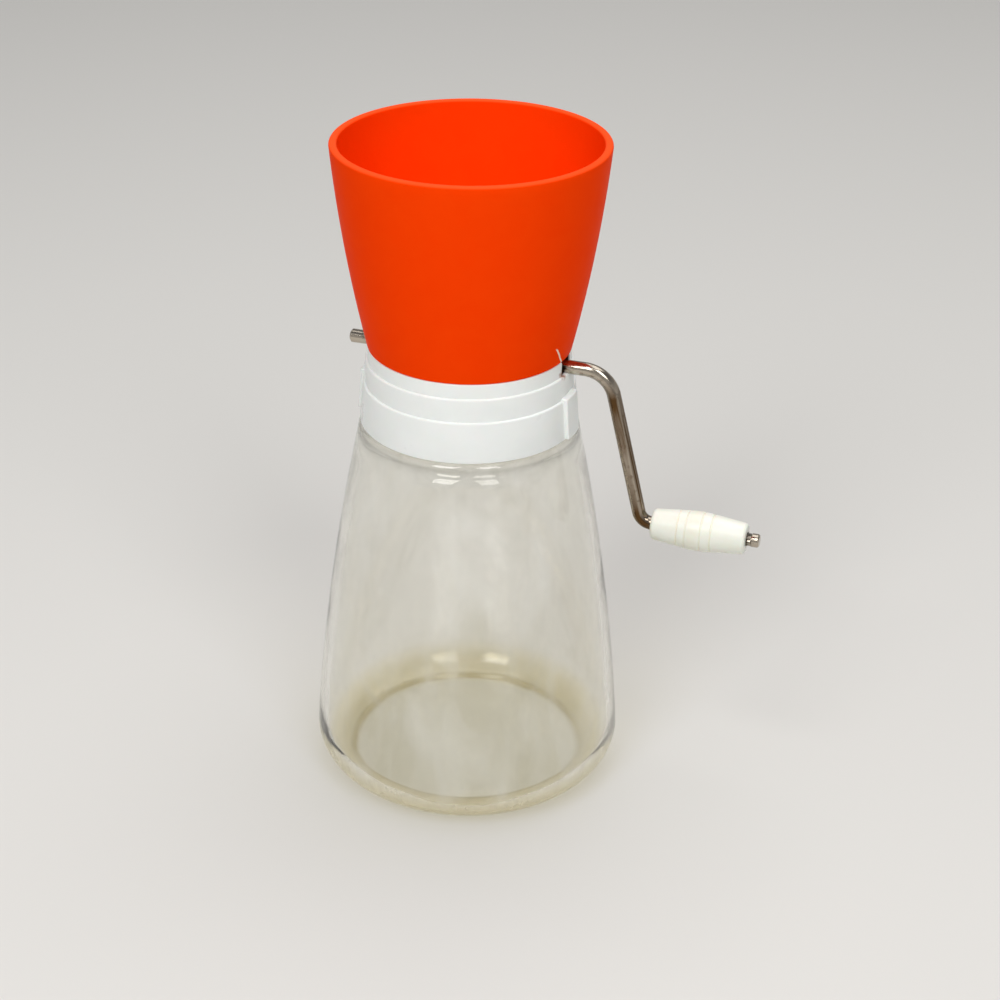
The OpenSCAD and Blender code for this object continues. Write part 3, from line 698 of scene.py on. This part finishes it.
def pressed_soda_glass():
    """Pressed soda-lime glass: a faint olive body where it is thick, wavy faces, a cloudy film, and an
    olive line round the floor's edge, painted in place of the light that the floor step catches.
    """
    cloud_w, cloud_stretch = 15, (1.0, 1.0, 0.4)
    wave_w, wave_h = 24, 1.0
    clear_from, clear_to = 0.4 * heel_h, 1.1 * heel_h
    floor_blend = 1.5
    painted_line_half, painted_line_fade, painted_line_below, painted_line_above = 0.4, 1.5, 0.2, 0.4
    m, place = new_material("pressed_soda_glass")
    # The film has run down the wall, so its clouds are drawn out upright
    upright = add_node(m, "ShaderNodeVectorMath", {0: place, 1: cloud_stretch}, operation="MULTIPLY")
    cloud = add_node(m, "ShaderNodeTexNoise", {
        "Vector": upright.outputs[0], "Scale": per_metre(cloud_w), "Detail": 6.0, "Roughness": 0.55,
        "Distortion": 0.9})
    film = add_node(m, "ShaderNodeMapRange", {
        "Value": cloud.outputs["Fac"], "From Min": 0.4, "From Max": 0.75, "To Min": 0.0, "To Max": 1.0},
        interpolation_type="SMOOTHSTEP")
    # The thick heel is clear of film and shows the olive of the glass
    axes = add_node(m, "ShaderNodeSeparateXYZ", {"Vector": place})
    above_heel = add_node(m, "ShaderNodeMapRange", {
        "Value": axes.outputs["Z"], "From Min": clear_from * MM, "From Max": clear_to * MM,
        "To Min": 0.0, "To Max": 1.0}, interpolation_type="SMOOTHSTEP")
    film = add_node(m, "ShaderNodeMath", {
        0: film.outputs[0], 1: above_heel.outputs[0]}, operation="MULTIPLY")
    out_r = off_middle(m, axes)
    past_floor = add_node(m, "ShaderNodeMapRange", {
        "Value": out_r, "From Min": (floor_r - floor_blend) * MM, "From Max": (floor_r + floor_blend) * MM,
        "To Min": 0.0, "To Max": 1.0})
    in_heel = add_node(m, "ShaderNodeMath", {0: 1.0, 1: above_heel.outputs[0]}, operation="SUBTRACT")
    in_heel = add_node(m, "ShaderNodeMath", {
        0: in_heel.outputs[0], 1: past_floor.outputs[0]}, operation="MULTIPLY")
    heel_body = add_node(m, "ShaderNodeMix", {
        0: in_heel.outputs[0], MIX_A: colour("#fefefc"), MIX_B: colour("#f0e9cc")}, data_type="RGBA")
    clear = add_node(m, "ShaderNodeMapRange", {
        "Value": film.outputs[0], "From Min": 0.0, "From Max": 1.0, "To Min": 0.985, "To Max": 0.82})
    # An olive line is painted round the edge of the floor, in place of the light that the floor step
    # catches and bends
    off_line = add_node(m, "ShaderNodeMath", {0: out_r, 1: floor_r * MM}, operation="SUBTRACT")
    off_line = add_node(m, "ShaderNodeMath", {0: off_line.outputs[0]}, operation="ABSOLUTE")
    line = add_node(m, "ShaderNodeMapRange", {
        "Value": off_line.outputs[0], "From Min": painted_line_half * MM, "From Max": painted_line_fade * MM,
        "To Min": 0.85, "To Max": 0.0})
    at_floor = add_node(m, "ShaderNodeMath", {
        0: axes.outputs["Z"], 1: (floor_z - painted_line_below) * MM}, operation="GREATER_THAN")
    below = add_node(m, "ShaderNodeMath", {
        0: axes.outputs["Z"], 1: (floor_z + floor_step + painted_line_above) * MM}, operation="LESS_THAN")
    line = add_node(m, "ShaderNodeMath", {0: line.outputs[0], 1: at_floor.outputs[0]}, operation="MULTIPLY")
    line = add_node(m, "ShaderNodeMath", {0: line.outputs[0], 1: below.outputs[0]}, operation="MULTIPLY")
    tint_and_painted_line = add_node(m, "ShaderNodeMix", {
        0: line.outputs[0], MIX_A: heel_body.outputs[MIXED], MIX_B: colour("#b9a865")}, data_type="RGBA")
    blur = add_node(m, "ShaderNodeMapRange", {
        "Value": film.outputs[0], "From Min": 0.0, "From Max": 1.0, "To Min": 0.02, "To Max": 0.14})
    wave = add_node(m, "ShaderNodeTexNoise", {"Vector": place, "Scale": per_metre(wave_w), "Detail": 2.0})
    dent = add_node(m, "ShaderNodeBump", {
        "Height": wave.outputs["Fac"], "Strength": 0.14, "Distance": wave_h * MM})
    add_node(m, SURFACE, {
        "Base Color": tint_and_painted_line.outputs[MIXED], "Roughness": blur.outputs[0], "IOR": 1.51,
        "Transmission Weight": clear.outputs[0], "Normal": dent.outputs["Normal"]})
    # Light from lamps and surroundings passes through, so that the shadow stays as pale as real glass casts
    rays = add_node(m, "ShaderNodeLightPath", {})
    from_lamps = add_node(m, "ShaderNodeMath", {
        0: rays.outputs["Is Shadow Ray"], 1: rays.outputs["Is Diffuse Ray"]}, operation="MAXIMUM")
    clear_way = add_node(m, "ShaderNodeBsdfTransparent", {"Color": colour("#f6f5f0")})
    lit = add_node(m, "ShaderNodeMixShader", {
        0: from_lamps.outputs[0], 1: m.node_tree.nodes[SURFACE].outputs[0], 2: clear_way.outputs[0]})
    body = add_node(m, "ShaderNodeVolumeAbsorption", {"Color": colour("#d6cb9c"), "Density": 20.0})
    add_node(m, OUTPUT, {"Surface": lit.outputs[0], "Volume": body.outputs[0]})
    return m


def nickel_plated_wire():
    """Drawn steel wire with worn nickel plate: warm grey metal, drawn streaks in its gloss, a brown
    reflection painted in streaks along the arm, brown freckles, and dark patches on the tail past the
    handle.
    """
    freckle_w, streak_w, streak_stretch = 1.3, 0.9, (0.02, 1.0, 0.02)
    arm_from, arm_full = shaft_z - 1.5, shaft_z - 7.0
    tail_dark_end, tail_dark_full = ear_x + 1.8, ear_x
    m, place = new_material("nickel_plated_wire")
    freckle = add_node(m, "ShaderNodeTexNoise", {
        "Vector": place, "Scale": per_metre(freckle_w), "Detail": 5.0, "Roughness": 0.65})
    worn = add_node(m, "ShaderNodeMapRange", {
        "Value": freckle.outputs["Fac"], "From Min": 0.56, "From Max": 0.74, "To Min": 0.0, "To Max": 0.75})
    plate = add_node(m, "ShaderNodeMix", {
        0: worn.outputs[0], MIX_A: colour("#bfb5a6"), MIX_B: colour("#5c4630")}, data_type="RGBA")
    # The wire lies in the plane y = 0, so lines of equal y run along it, as do its drawing marks in the
    # gloss and the streaks of painted reflection
    along = add_node(m, "ShaderNodeVectorMath", {0: place, 1: streak_stretch}, operation="MULTIPLY")
    streak = add_node(m, "ShaderNodeTexNoise", {
        "Vector": along.outputs[0], "Scale": per_metre(streak_w), "Detail": 3.0, "Roughness": 0.6})
    painted_reflection_streaks = add_node(m, "ShaderNodeMapRange", {
        "Value": streak.outputs["Fac"], "From Min": 0.36, "From Max": 0.6, "To Min": 0.1, "To Max": 1.0})
    # A brown reflection is painted in streaks along the arm, while the stub, the shaft and the tail stay
    # grey
    axes = add_node(m, "ShaderNodeSeparateXYZ", {"Vector": place})
    on_arm = add_node(m, "ShaderNodeMapRange", {
        "Value": axes.outputs["Z"], "From Min": arm_from * MM, "From Max": arm_full * MM,
        "To Min": 0.15, "To Max": 1.0})
    before_grip = add_node(m, "ShaderNodeMapRange", {
        "Value": axes.outputs["X"], "From Min": grip_low.x * MM, "From Max": grip_high.x * MM,
        "To Min": 1.0, "To Max": 0.15})
    brown = add_node(m, "ShaderNodeMath", {
        0: on_arm.outputs[0], 1: before_grip.outputs[0]}, operation="MULTIPLY")
    brown = add_node(m, "ShaderNodeMath", {0: brown.outputs[0], 1: painted_reflection_streaks.outputs[0]}, operation="MULTIPLY")
    plate = add_node(m, "ShaderNodeMix", {
        0: brown.outputs[0], MIX_A: plate.outputs[MIXED], MIX_B: colour("#5a4228")}, data_type="RGBA")
    # The tail is darkened in patches just past the handle's end
    tail = add_node(m, "ShaderNodeMapRange", {
        "Value": axes.outputs["X"], "From Min": tail_dark_end * MM, "From Max": tail_dark_full * MM,
        "To Min": 0.0, "To Max": 1.6})
    tail_darkening = add_node(m, "ShaderNodeMath", {
        0: tail.outputs[0], 1: freckle.outputs["Fac"]}, operation="MULTIPLY", use_clamp=True)
    outer = add_node(m, "ShaderNodeMath", {
        0: axes.outputs["X"], 1: grip_high.x * MM}, operation="GREATER_THAN")
    tail_darkening = add_node(m, "ShaderNodeMath", {0: tail_darkening.outputs[0], 1: outer.outputs[0]}, operation="MULTIPLY")
    plate = add_node(m, "ShaderNodeMix", {
        0: tail_darkening.outputs[0], MIX_A: plate.outputs[MIXED], MIX_B: colour("#2c221b")}, data_type="RGBA")
    gloss = add_node(m, "ShaderNodeMapRange", {
        "Value": streak.outputs["Fac"], "From Min": 0.3, "From Max": 0.7, "To Min": 0.1, "To Max": 0.24})
    add_node(m, SURFACE, {
        "Base Color": plate.outputs[MIXED], "Metallic": 1.0, "Roughness": gloss.outputs[0]})
    return m


def turned_ivory_plastic():
    """Turned ivory plastic: warm white, satin, with yellowed rings and a faint band between two of them."""
    mottle_w, skin_depth = 4, 1.5
    ring_strength, band_strength = 0.22, 0.12
    ring_half = groove_w * 0.7
    m, place = new_material("turned_ivory_plastic")
    axes = add_node(m, "ShaderNodeSeparateXYZ", {"Vector": place})
    mottle = add_node(m, "ShaderNodeTexNoise", {
        "Vector": place, "Scale": per_metre(mottle_w), "Detail": 4.0})
    skin = add_node(m, "ShaderNodeMix", {
        0: mottle.outputs["Fac"], MIX_A: colour("#f2f4eb"), MIX_B: colour("#eaecde")}, data_type="RGBA")
    length = grip_high.x - grip_low.x
    tint = None
    bands = [(share * length, ring_half, ring_strength) for share in groove_at]
    low, high = groove_at[1:3]
    bands.append(((low + high) / 2 * length, (high - low) / 2 * length, band_strength))
    for middle, half, strength in bands:
        off = add_node(m, "ShaderNodeMath", {
            0: axes.outputs["X"], 1: (grip_low.x + middle) * MM}, operation="SUBTRACT")
        off = add_node(m, "ShaderNodeMath", {0: off.outputs[0]}, operation="ABSOLUTE")
        band = add_node(m, "ShaderNodeMapRange", {
            "Value": off.outputs[0], "From Min": half * 0.5 * MM, "From Max": half * MM,
            "To Min": strength, "To Max": 0.0})
        if tint is not None:
            band = add_node(m, "ShaderNodeMath", {0: band.outputs[0], 1: tint}, operation="MAXIMUM")
        tint = band.outputs[0]
    yellowed = add_node(m, "ShaderNodeMix", {
        0: tint, MIX_A: skin.outputs[MIXED], MIX_B: colour("#e0d3a8")}, data_type="RGBA")
    add_node(m, SURFACE, {
        "Base Color": yellowed.outputs[MIXED], "Roughness": 0.3, "IOR": 1.5,
        "Subsurface Weight": 0.1, "Subsurface Scale": skin_depth * MM})
    return m


def tinned_sheet_steel():
    """Stamped tinplate: pale bright metal with dull cloudy patches from use."""
    patch_w = 3
    m, place = new_material("tinned_sheet_steel")
    patch = add_node(m, "ShaderNodeTexNoise", {"Vector": place, "Scale": per_metre(patch_w), "Detail": 5.0})
    tin = add_node(m, "ShaderNodeMix", {
        0: patch.outputs["Fac"], MIX_A: colour("#d2d2cd"), MIX_B: colour("#a9a8a2")}, data_type="RGBA")
    gloss = add_node(m, "ShaderNodeMapRange", {
        "Value": patch.outputs["Fac"], "From Min": 0.3, "From Max": 0.7, "To Min": 0.2, "To Max": 0.42})
    add_node(m, SURFACE, {
        "Base Color": tin.outputs[MIXED], "Metallic": 1.0, "Roughness": gloss.outputs[0]})
    return m


def plain_metal(name, code, roughness):
    """A bare steel of one colour with slightly uneven gloss."""
    patch_w, uneven = 2, 0.06
    m, place = new_material(name)
    patch = add_node(m, "ShaderNodeTexNoise", {"Vector": place, "Scale": per_metre(patch_w), "Detail": 4.0})
    gloss = add_node(m, "ShaderNodeMapRange", {
        "Value": patch.outputs["Fac"], "From Min": 0.3, "From Max": 0.7,
        "To Min": roughness - uneven, "To Max": roughness + uneven})
    add_node(m, SURFACE, {"Base Color": colour(code), "Metallic": 1.0, "Roughness": gloss.outputs[0]})
    return m


def cut_grey_rubber():
    """Sheet rubber: matt, warm grey, slightly mottled."""
    mottle_w = 3
    m, place = new_material("cut_grey_rubber")
    mottle = add_node(m, "ShaderNodeTexNoise", {
        "Vector": place, "Scale": per_metre(mottle_w), "Detail": 4.0})
    skin = add_node(m, "ShaderNodeMix", {
        0: mottle.outputs["Fac"], MIX_A: colour("#c9c4b8"), MIX_B: colour("#b2ac9f")}, data_type="RGBA")
    add_node(m, SURFACE, {"Base Color": skin.outputs[MIXED], "Roughness": 0.7})
    return m


orange = moulded_orange_polystyrene()
white = moulded_white_polypropylene()
glass = pressed_soda_glass()
nickel = nickel_plated_wire()
ivory = turned_ivory_plastic()
tin = tinned_sheet_steel()
# Plated rivets shine pale, blued spring washers look darker, and cut tube is duller and warmer
rivet_steel = plain_metal("plated_rivet_steel", "#cbc6ba", 0.28)
spring_steel = plain_metal("blued_spring_steel", "#8d8c8c", 0.34)
sleeve_steel = plain_metal("cut_steel_tube", "#b8b2a6", 0.32)
rubber = cut_grey_rubber()

# Jar and its seal

jar = lathe("pressed_jar", jar_outline())
neck_thread = thread("neck_thread", neck_r, neck_thread_depth, neck_turns, neck_thread_z, 0)
combine(jar, neck_thread, "UNION")
finish_piece(jar, "jar", "jar_glass", glass, "glass_jar")

seal_section = [
    (seal_in_r, seal_low.z), (seal_r, seal_low.z), (seal_r, seal_high.z), (seal_in_r, seal_high.z)]
seal = lathe("rubber_seal", seal_section, closed=True)
soften(seal, seal_edge)
finish_piece(seal, "seal", "seal_rubber", rubber, "jar_seal_ring")

# Collar


def shaft_slot(name, way):
    """Tool for the slot that the shaft lies in, round at the shaft and open upwards or downwards."""
    reach = pad_r + slot_past_side
    open_z = shaft_z + way * (collar_top - spigot_z + slot_past_end)
    round_part = arc((0, shaft_z), slot_r, 0, -180 * way, steps=SLOT_STEPS)
    places = [(-reach, y, z) for y, z in round_part]
    places += [(-reach, -slot_r, open_z), (-reach, slot_r, open_z)]
    return slab(name, places, (2 * reach, 0, 0))


def notch_tool():
    """Tool for the notch that the turning crank has worn beside its slot, a box with rounded edges."""
    deselect()
    low = Vector((ring_r - notch_depth, -notch_front, mid_top + notch_lift))
    high = Vector((ring_r + cut_past, notch_back, collar_top + cut_past))
    bpy.ops.mesh.primitive_cube_add(size=1, location=(low + high) / 2 * MM, scale=(high - low) * MM)
    tool = bpy.context.object
    tool.name = "notch_tool"
    bpy.ops.object.transform_apply(location=True, rotation=True, scale=True)
    bpy.ops.object.mode_set(mode="EDIT")
    bpy.ops.mesh.select_all(action="SELECT")
    bpy.ops.mesh.bevel(offset=notch_edge * MM, segments=NOTCH_SEGMENTS, affect="EDGES")
    bpy.ops.object.mode_set(mode="OBJECT")
    return tool


def throat_tool():
    """Tool for the opening under the wheels, a block with its upright edges rounded."""
    deselect()
    bpy.ops.mesh.primitive_cube_add(
        size=1, location=(0, 0, (deck_z + deck_top) / 2 * MM),
        scale=(2 * throat_x * MM, 2 * throat_y * MM, (deck_top - deck_z + 2 * cut_past) * MM))
    tool = bpy.context.object
    bpy.ops.object.transform_apply(location=True, rotation=True, scale=True)
    bpy.ops.object.mode_set(mode="EDIT")
    # In edge mode an edge is marked by itself, without those that share its ends
    bpy.ops.mesh.select_mode(type="EDGE")
    bpy.ops.mesh.select_all(action="DESELECT")
    bpy.ops.object.mode_set(mode="OBJECT")
    for edge in tool.data.edges:
        a, b = (tool.data.vertices[v].co for v in edge.vertices)
        edge.select = abs(a.z - b.z) > MM
    bpy.ops.object.mode_set(mode="EDIT")
    bpy.ops.mesh.bevel(offset=throat_round * MM, segments=THROAT_SEGMENTS)
    bpy.ops.mesh.select_mode(type="VERT")
    return close_up(tool)


def grip_pad(name, middle):
    """A raised pad on the skirt, spun from its section round part of the collar."""
    section = [
        (pad_root_r, pad_z), (pad_r + skirt_flare, pad_z), (pad_r, pad_top), (pad_root_r, pad_top)]
    start = middle - pad_half_angle
    places = [(r * math.cos(start), r * math.sin(start), z) for r, z in section]
    pad = draw_chain(name, places, closed=True)
    bpy.ops.mesh.select_all(action="SELECT")
    # With no window, spin turns clockwise about its axis, so the axis points down
    bpy.ops.mesh.spin(steps=PAD_STEPS, angle=2 * pad_half_angle, center=(0, 0, 0), axis=(0, 0, -1))
    bpy.ops.mesh.select_all(action="SELECT")
    bpy.ops.mesh.fill_holes(sides=4)
    close_up(pad)
    return soften(pad, pad_edge, segments=PAD_SEGMENTS)


collar = lathe("moulded_collar", collar_outline())
combine(collar, throat_tool(), "DIFFERENCE")
combine(collar, shaft_slot("collar_slot", 1), "DIFFERENCE")
combine(collar, notch_tool(), "DIFFERENCE")
hole_low, hole_step, hole_high = deck_z - cut_past, deck_z + rivet_recess_h, deck_top + cut_past
hole_outline = [
    (0, hole_low), (rivet_recess_r, hole_low), (rivet_recess_r, hole_step),
    (rivet_hole_r, hole_step), (rivet_hole_r, hole_high), (0, hole_high)]
for sx in (-1, 1):
    for sy in (-1, 1):
        hole = lathe("rivet_hole", hole_outline, steps=HOLE_STEPS, centre=(sx * rivet_x, sy * rivet_y))
        combine(collar, hole, "DIFFERENCE")
for middle in (-pad_turn, math.pi + pad_turn):
    combine(collar, grip_pad("pad", middle), "UNION")
collar_ridge = thread(
    "collar_thread", skirt_in_r, collar_thread_depth, collar_turns, collar_thread_z,
    collar_thread_start, inward=True)
combine(collar, collar_ridge, "UNION")
finish_piece(collar, "head", "white_plastic", white, "screw_collar")

# Hopper

hopper = lathe("moulded_hopper", hopper_outline(), closed=True)
combine(hopper, shaft_slot("hopper_slot", -1), "DIFFERENCE")
finish_piece(hopper, "hopper", "orange_plastic", orange, "hopper")

# Crank


def bent_wire():
    """The crank, extruded and spun from one ring of vertices at its plain end."""
    top_tangent = top_bend_r * math.tan(bend / 2)
    low_tangent = low_bend_r * math.tan(bend / 2)
    arm_len = crank_throw / math.cos(lean) - top_tangent - low_tangent
    spindle_x = corner_x + crank_throw * math.tan(lean) + low_tangent
    top_start = corner_x - top_tangent
    deselect()
    bpy.ops.mesh.primitive_circle_add(
        vertices=WIRE_SIDES, radius=(rod_r - rod_chamfer) * MM, fill_type="NOTHING",
        location=Vector((rod_low.x, 0, shaft_z)) * MM, rotation=(0, math.pi / 2, 0))
    wire = bpy.context.object
    wire.name = wire.data.name = "bent_crank_wire"
    bpy.ops.object.transform_apply(location=True, rotation=True, scale=True)
    bpy.ops.object.mode_set(mode="EDIT")
    bpy.ops.mesh.select_all(action="SELECT")

    def push(x, z=0.0):
        """Extrudes the end of the wire by x and z."""
        bpy.ops.mesh.extrude_region_move(TRANSFORM_OT_translate={"value": (x * MM, 0, z * MM)})

    def widen(y_share, z_share, x, z):
        """Scales the end of the wire across its length, about its middle at x and z."""
        bpy.ops.transform.resize(value=(1, y_share, z_share), center_override=Vector((x, 0, z)) * MM)

    full = rod_r / (rod_r - rod_chamfer)
    push(rod_chamfer)
    widen(full, full, rod_low.x + rod_chamfer, shaft_z)
    push(top_start - rod_low.x - rod_chamfer)
    # Each bend's axis is chosen for the clockwise turn of spin, first downwards and then outwards
    bpy.ops.mesh.spin(
        steps=TOP_BEND_STEPS, angle=bend,
        center=Vector((top_start, 0, shaft_z - top_bend_r)) * MM, axis=(0, -1, 0))
    push(arm_len * math.sin(lean), -arm_len * math.cos(lean))
    bpy.ops.mesh.spin(
        steps=LOW_BEND_STEPS, angle=bend,
        center=Vector((spindle_x, 0, spindle_z + low_bend_r)) * MM, axis=(0, 1, 0))
    push(ear_x - spindle_x)
    # Two ears are pinched out of the tail to keep the handle on
    spread = ear_r / rod_r
    push(ear_ramp)
    widen(spread, pinch, ear_x + ear_ramp, spindle_z)
    push(ear_len - 2 * ear_ramp)
    push(ear_ramp)
    widen(1 / spread, 1 / pinch, ear_x + ear_len, spindle_z)
    push(rod_high.x - rod_chamfer - ear_x - ear_len)
    push(rod_chamfer)
    widen(1 / full, 1 / full, rod_high.x, spindle_z)
    bpy.ops.mesh.select_all(action="SELECT")
    bpy.ops.mesh.fill_holes(sides=0)
    return close_up(wire)


def flat_tool():
    """Tool for the flat that turns the wheels."""
    top = shaft_z + rod_r
    half_w, low, high = flat_w / 2, top - flat_depth, top + cut_past
    corners = [(-half_w, low), (half_w, low), (half_w, high), (-half_w, high)]
    return slab("flat", [(-flat_half, y, z) for y, z in corners], (2 * flat_half, 0, 0))


wire = bent_wire()
combine(wire, flat_tool(), "DIFFERENCE")
finish_piece(wire, "crank", "nickel_wire", nickel, "crank_rod")

# Handle

places = [(grip_low.x + s, 0, spindle_z + r) for r, s in grip_outline()]
grip = draw_chain("ivory_handle", places, closed=True)
bpy.ops.mesh.select_all(action="SELECT")
bpy.ops.mesh.spin(
    steps=GRIP_STEPS, angle=math.tau, center=Vector((0, 0, spindle_z)) * MM, axis=(1, 0, 0))
close_up(grip)
finish_piece(grip, "grip", "ivory_plastic", ivory, "handle_grip")

# Stamped and cut pieces inside the head

for comb in ("coarse_comb", "fine_comb"):
    finish_piece(dressed_copy(comb, comb + "_plate", comb_edge), "head", "tinned_steel", tin, comb)
rivets = dressed_copy("comb_rivets", "comb_rivet_set", rivet_edge)
finish_piece(rivets, "head", "rivet_steel", rivet_steel, "comb_rivets")

WHEELS, SLEEVES = 5, 4
wheel_step = span("chopping_wheel_2")[0].x - wheel_low.x
wheels = {
    i: dressed_copy(f"chopping_wheel_{i}", f"toothed_wheel_{i}", wheel_edge) for i in (1, 2)}
for i in range(3, WHEELS + 1):
    # Every second wheel is turned the same way
    wheels[i] = shifted_copy(wheels[i - 2], f"toothed_wheel_{i}", (2 * wheel_step, 0, 0))
for i, wheel in wheels.items():
    finish_piece(wheel, "crank", "tinned_steel", tin, f"chopping_wheel_{i}")

sleeve = dressed_copy("wheel_spacer_1", "sleeve_1", sleeve_edge)
sleeves = [sleeve] + [
    shifted_copy(sleeve, f"sleeve_{i}", ((i - 1) * wheel_step, 0, 0)) for i in range(2, SLEEVES + 1)]
for i, piece in enumerate(sleeves, 1):
    finish_piece(piece, "crank", "spacer_steel", sleeve_steel, f"wheel_spacer_{i}")

for side in ("left", "right"):
    nut = dressed_copy(f"{side}_push_nut", f"{side}_spring_nut", nut_edge)
    finish_piece(nut, "crank", "spring_steel", spring_steel, f"{side}_push_nut")

# Floor, light and camera

FLOOR_SIZE = 12.0
FLOOR_COLOUR = "#d9d7d3"
BACKDROP_COLOUR = "#c4c3c1"
CEILING_COLOUR = "#6e6e70"
LOW_LIGHT_COLOUR, HIGH_LIGHT_COLOUR = "#363636", "#b2b2b2"
# Heights on the unit sphere of directions between which backdrop turns to ceiling
CEILING_START, CEILING_FULL = 0.05, 0.7
# The floor lies just under the resting ring, so that glass and paper share no face
FLOOR_GAP = 0.1 * MM


def pale_paper():
    """Plain matt paper under and behind the object."""
    m = new_material("pale_paper")[0]
    add_node(m, SURFACE, {"Base Color": colour(FLOOR_COLOUR), "Roughness": 0.85})
    return m


deselect()
bpy.ops.mesh.primitive_plane_add(size=FLOOR_SIZE, location=(0, 0, -FLOOR_GAP))
floor = bpy.context.object
floor.name = "floor"
floor.data.materials.append(pale_paper())

# The camera looks as in the photograph, with its place in metres and its lens in millimetres
CAMERA_PLACE = Vector((0.1645, -0.4806, 0.3552))
CAMERA_TURN = (math.radians(61.87), 0, math.radians(18.9))
CAMERA_ROLL = math.radians(0.38)
CAMERA_LENS, CAMERA_SENSOR, CAMERA_SHIFT = 73.08, 36, 0.0315
bpy.ops.object.camera_add(location=CAMERA_PLACE, rotation=CAMERA_TURN)
camera = bpy.context.object
camera.rotation_euler.rotate_axis("Z", CAMERA_ROLL)
camera.data.lens = CAMERA_LENS
camera.data.sensor_width = CAMERA_SENSOR
camera.data.shift_x = CAMERA_SHIFT
camera.data.dof.use_dof = False
bpy.context.scene.camera = camera

# The lamps are aimed at the middle of the object, with places and sizes in metres
AIM = Vector((0, 0, 0.1))
camera_side = math.atan2(CAMERA_PLACE.x, -CAMERA_PLACE.y)


def softbox(name, turn, elevation, distance, width, height, watts):
    """A rectangular lamp aimed at the object, at an angle from the camera's side."""
    a, e = camera_side + math.radians(turn), math.radians(elevation)
    back = Vector((math.sin(a) * math.cos(e), -math.cos(a) * math.cos(e), math.sin(e)))
    bpy.ops.object.light_add(type="AREA", location=AIM + back * distance)
    lamp = bpy.context.object
    lamp.name = name
    lamp.rotation_euler = back.to_track_quat("Z", "Y").to_euler()
    lamp.data.shape = "RECTANGLE"
    lamp.data.size, lamp.data.size_y = width, height
    lamp.data.energy = watts


softbox("left_strip", turn=-30, elevation=48, distance=1.1, width=0.34, height=0.6, watts=5.0)
softbox("right_strip", turn=24, elevation=48, distance=1.1, width=0.34, height=0.6, watts=3.6)
softbox("overhead", turn=150, elevation=72, distance=1.4, width=1.2, height=1.2, watts=7.5)

world = bpy.data.worlds.new("plain_studio")
bpy.context.scene.world = world
world.use_nodes = True
# Light falls mostly from above, while eye, metal and glass see a pale backdrop under a darker ceiling
sky = add_node(world, "ShaderNodeTexCoord", {})
sky_axes = add_node(world, "ShaderNodeSeparateXYZ", {"Vector": sky.outputs["Generated"]})
height = add_node(world, "ShaderNodeMapRange", {
    "Value": sky_axes.outputs["Z"], "From Min": CEILING_START, "From Max": CEILING_FULL,
    "To Min": 0.0, "To Max": 1.0}, interpolation_type="SMOOTHSTEP")
studio = add_node(world, "ShaderNodeMix", {
    0: height.outputs[0], MIX_A: colour(LOW_LIGHT_COLOUR), MIX_B: colour(HIGH_LIGHT_COLOUR)},
    data_type="RGBA")
backdrop = add_node(world, "ShaderNodeMix", {
    0: height.outputs[0], MIX_A: colour(BACKDROP_COLOUR), MIX_B: colour(CEILING_COLOUR)}, data_type="RGBA")
rays = add_node(world, "ShaderNodeLightPath", {})
seen = rays.outputs["Is Camera Ray"]
for kind in ("Is Glossy Ray", "Is Transmission Ray"):
    either = add_node(world, "ShaderNodeMath", {0: seen, 1: rays.outputs[kind]}, operation="MAXIMUM")
    seen = either.outputs[0]
shown = add_node(world, "ShaderNodeMix", {
    0: seen, MIX_A: studio.outputs[MIXED], MIX_B: backdrop.outputs[MIXED]}, data_type="RGBA")
add_node(world, "Background", {"Color": shown.outputs[MIXED], "Strength": 1.0})

bpy.context.scene.view_settings.view_transform = "Standard"
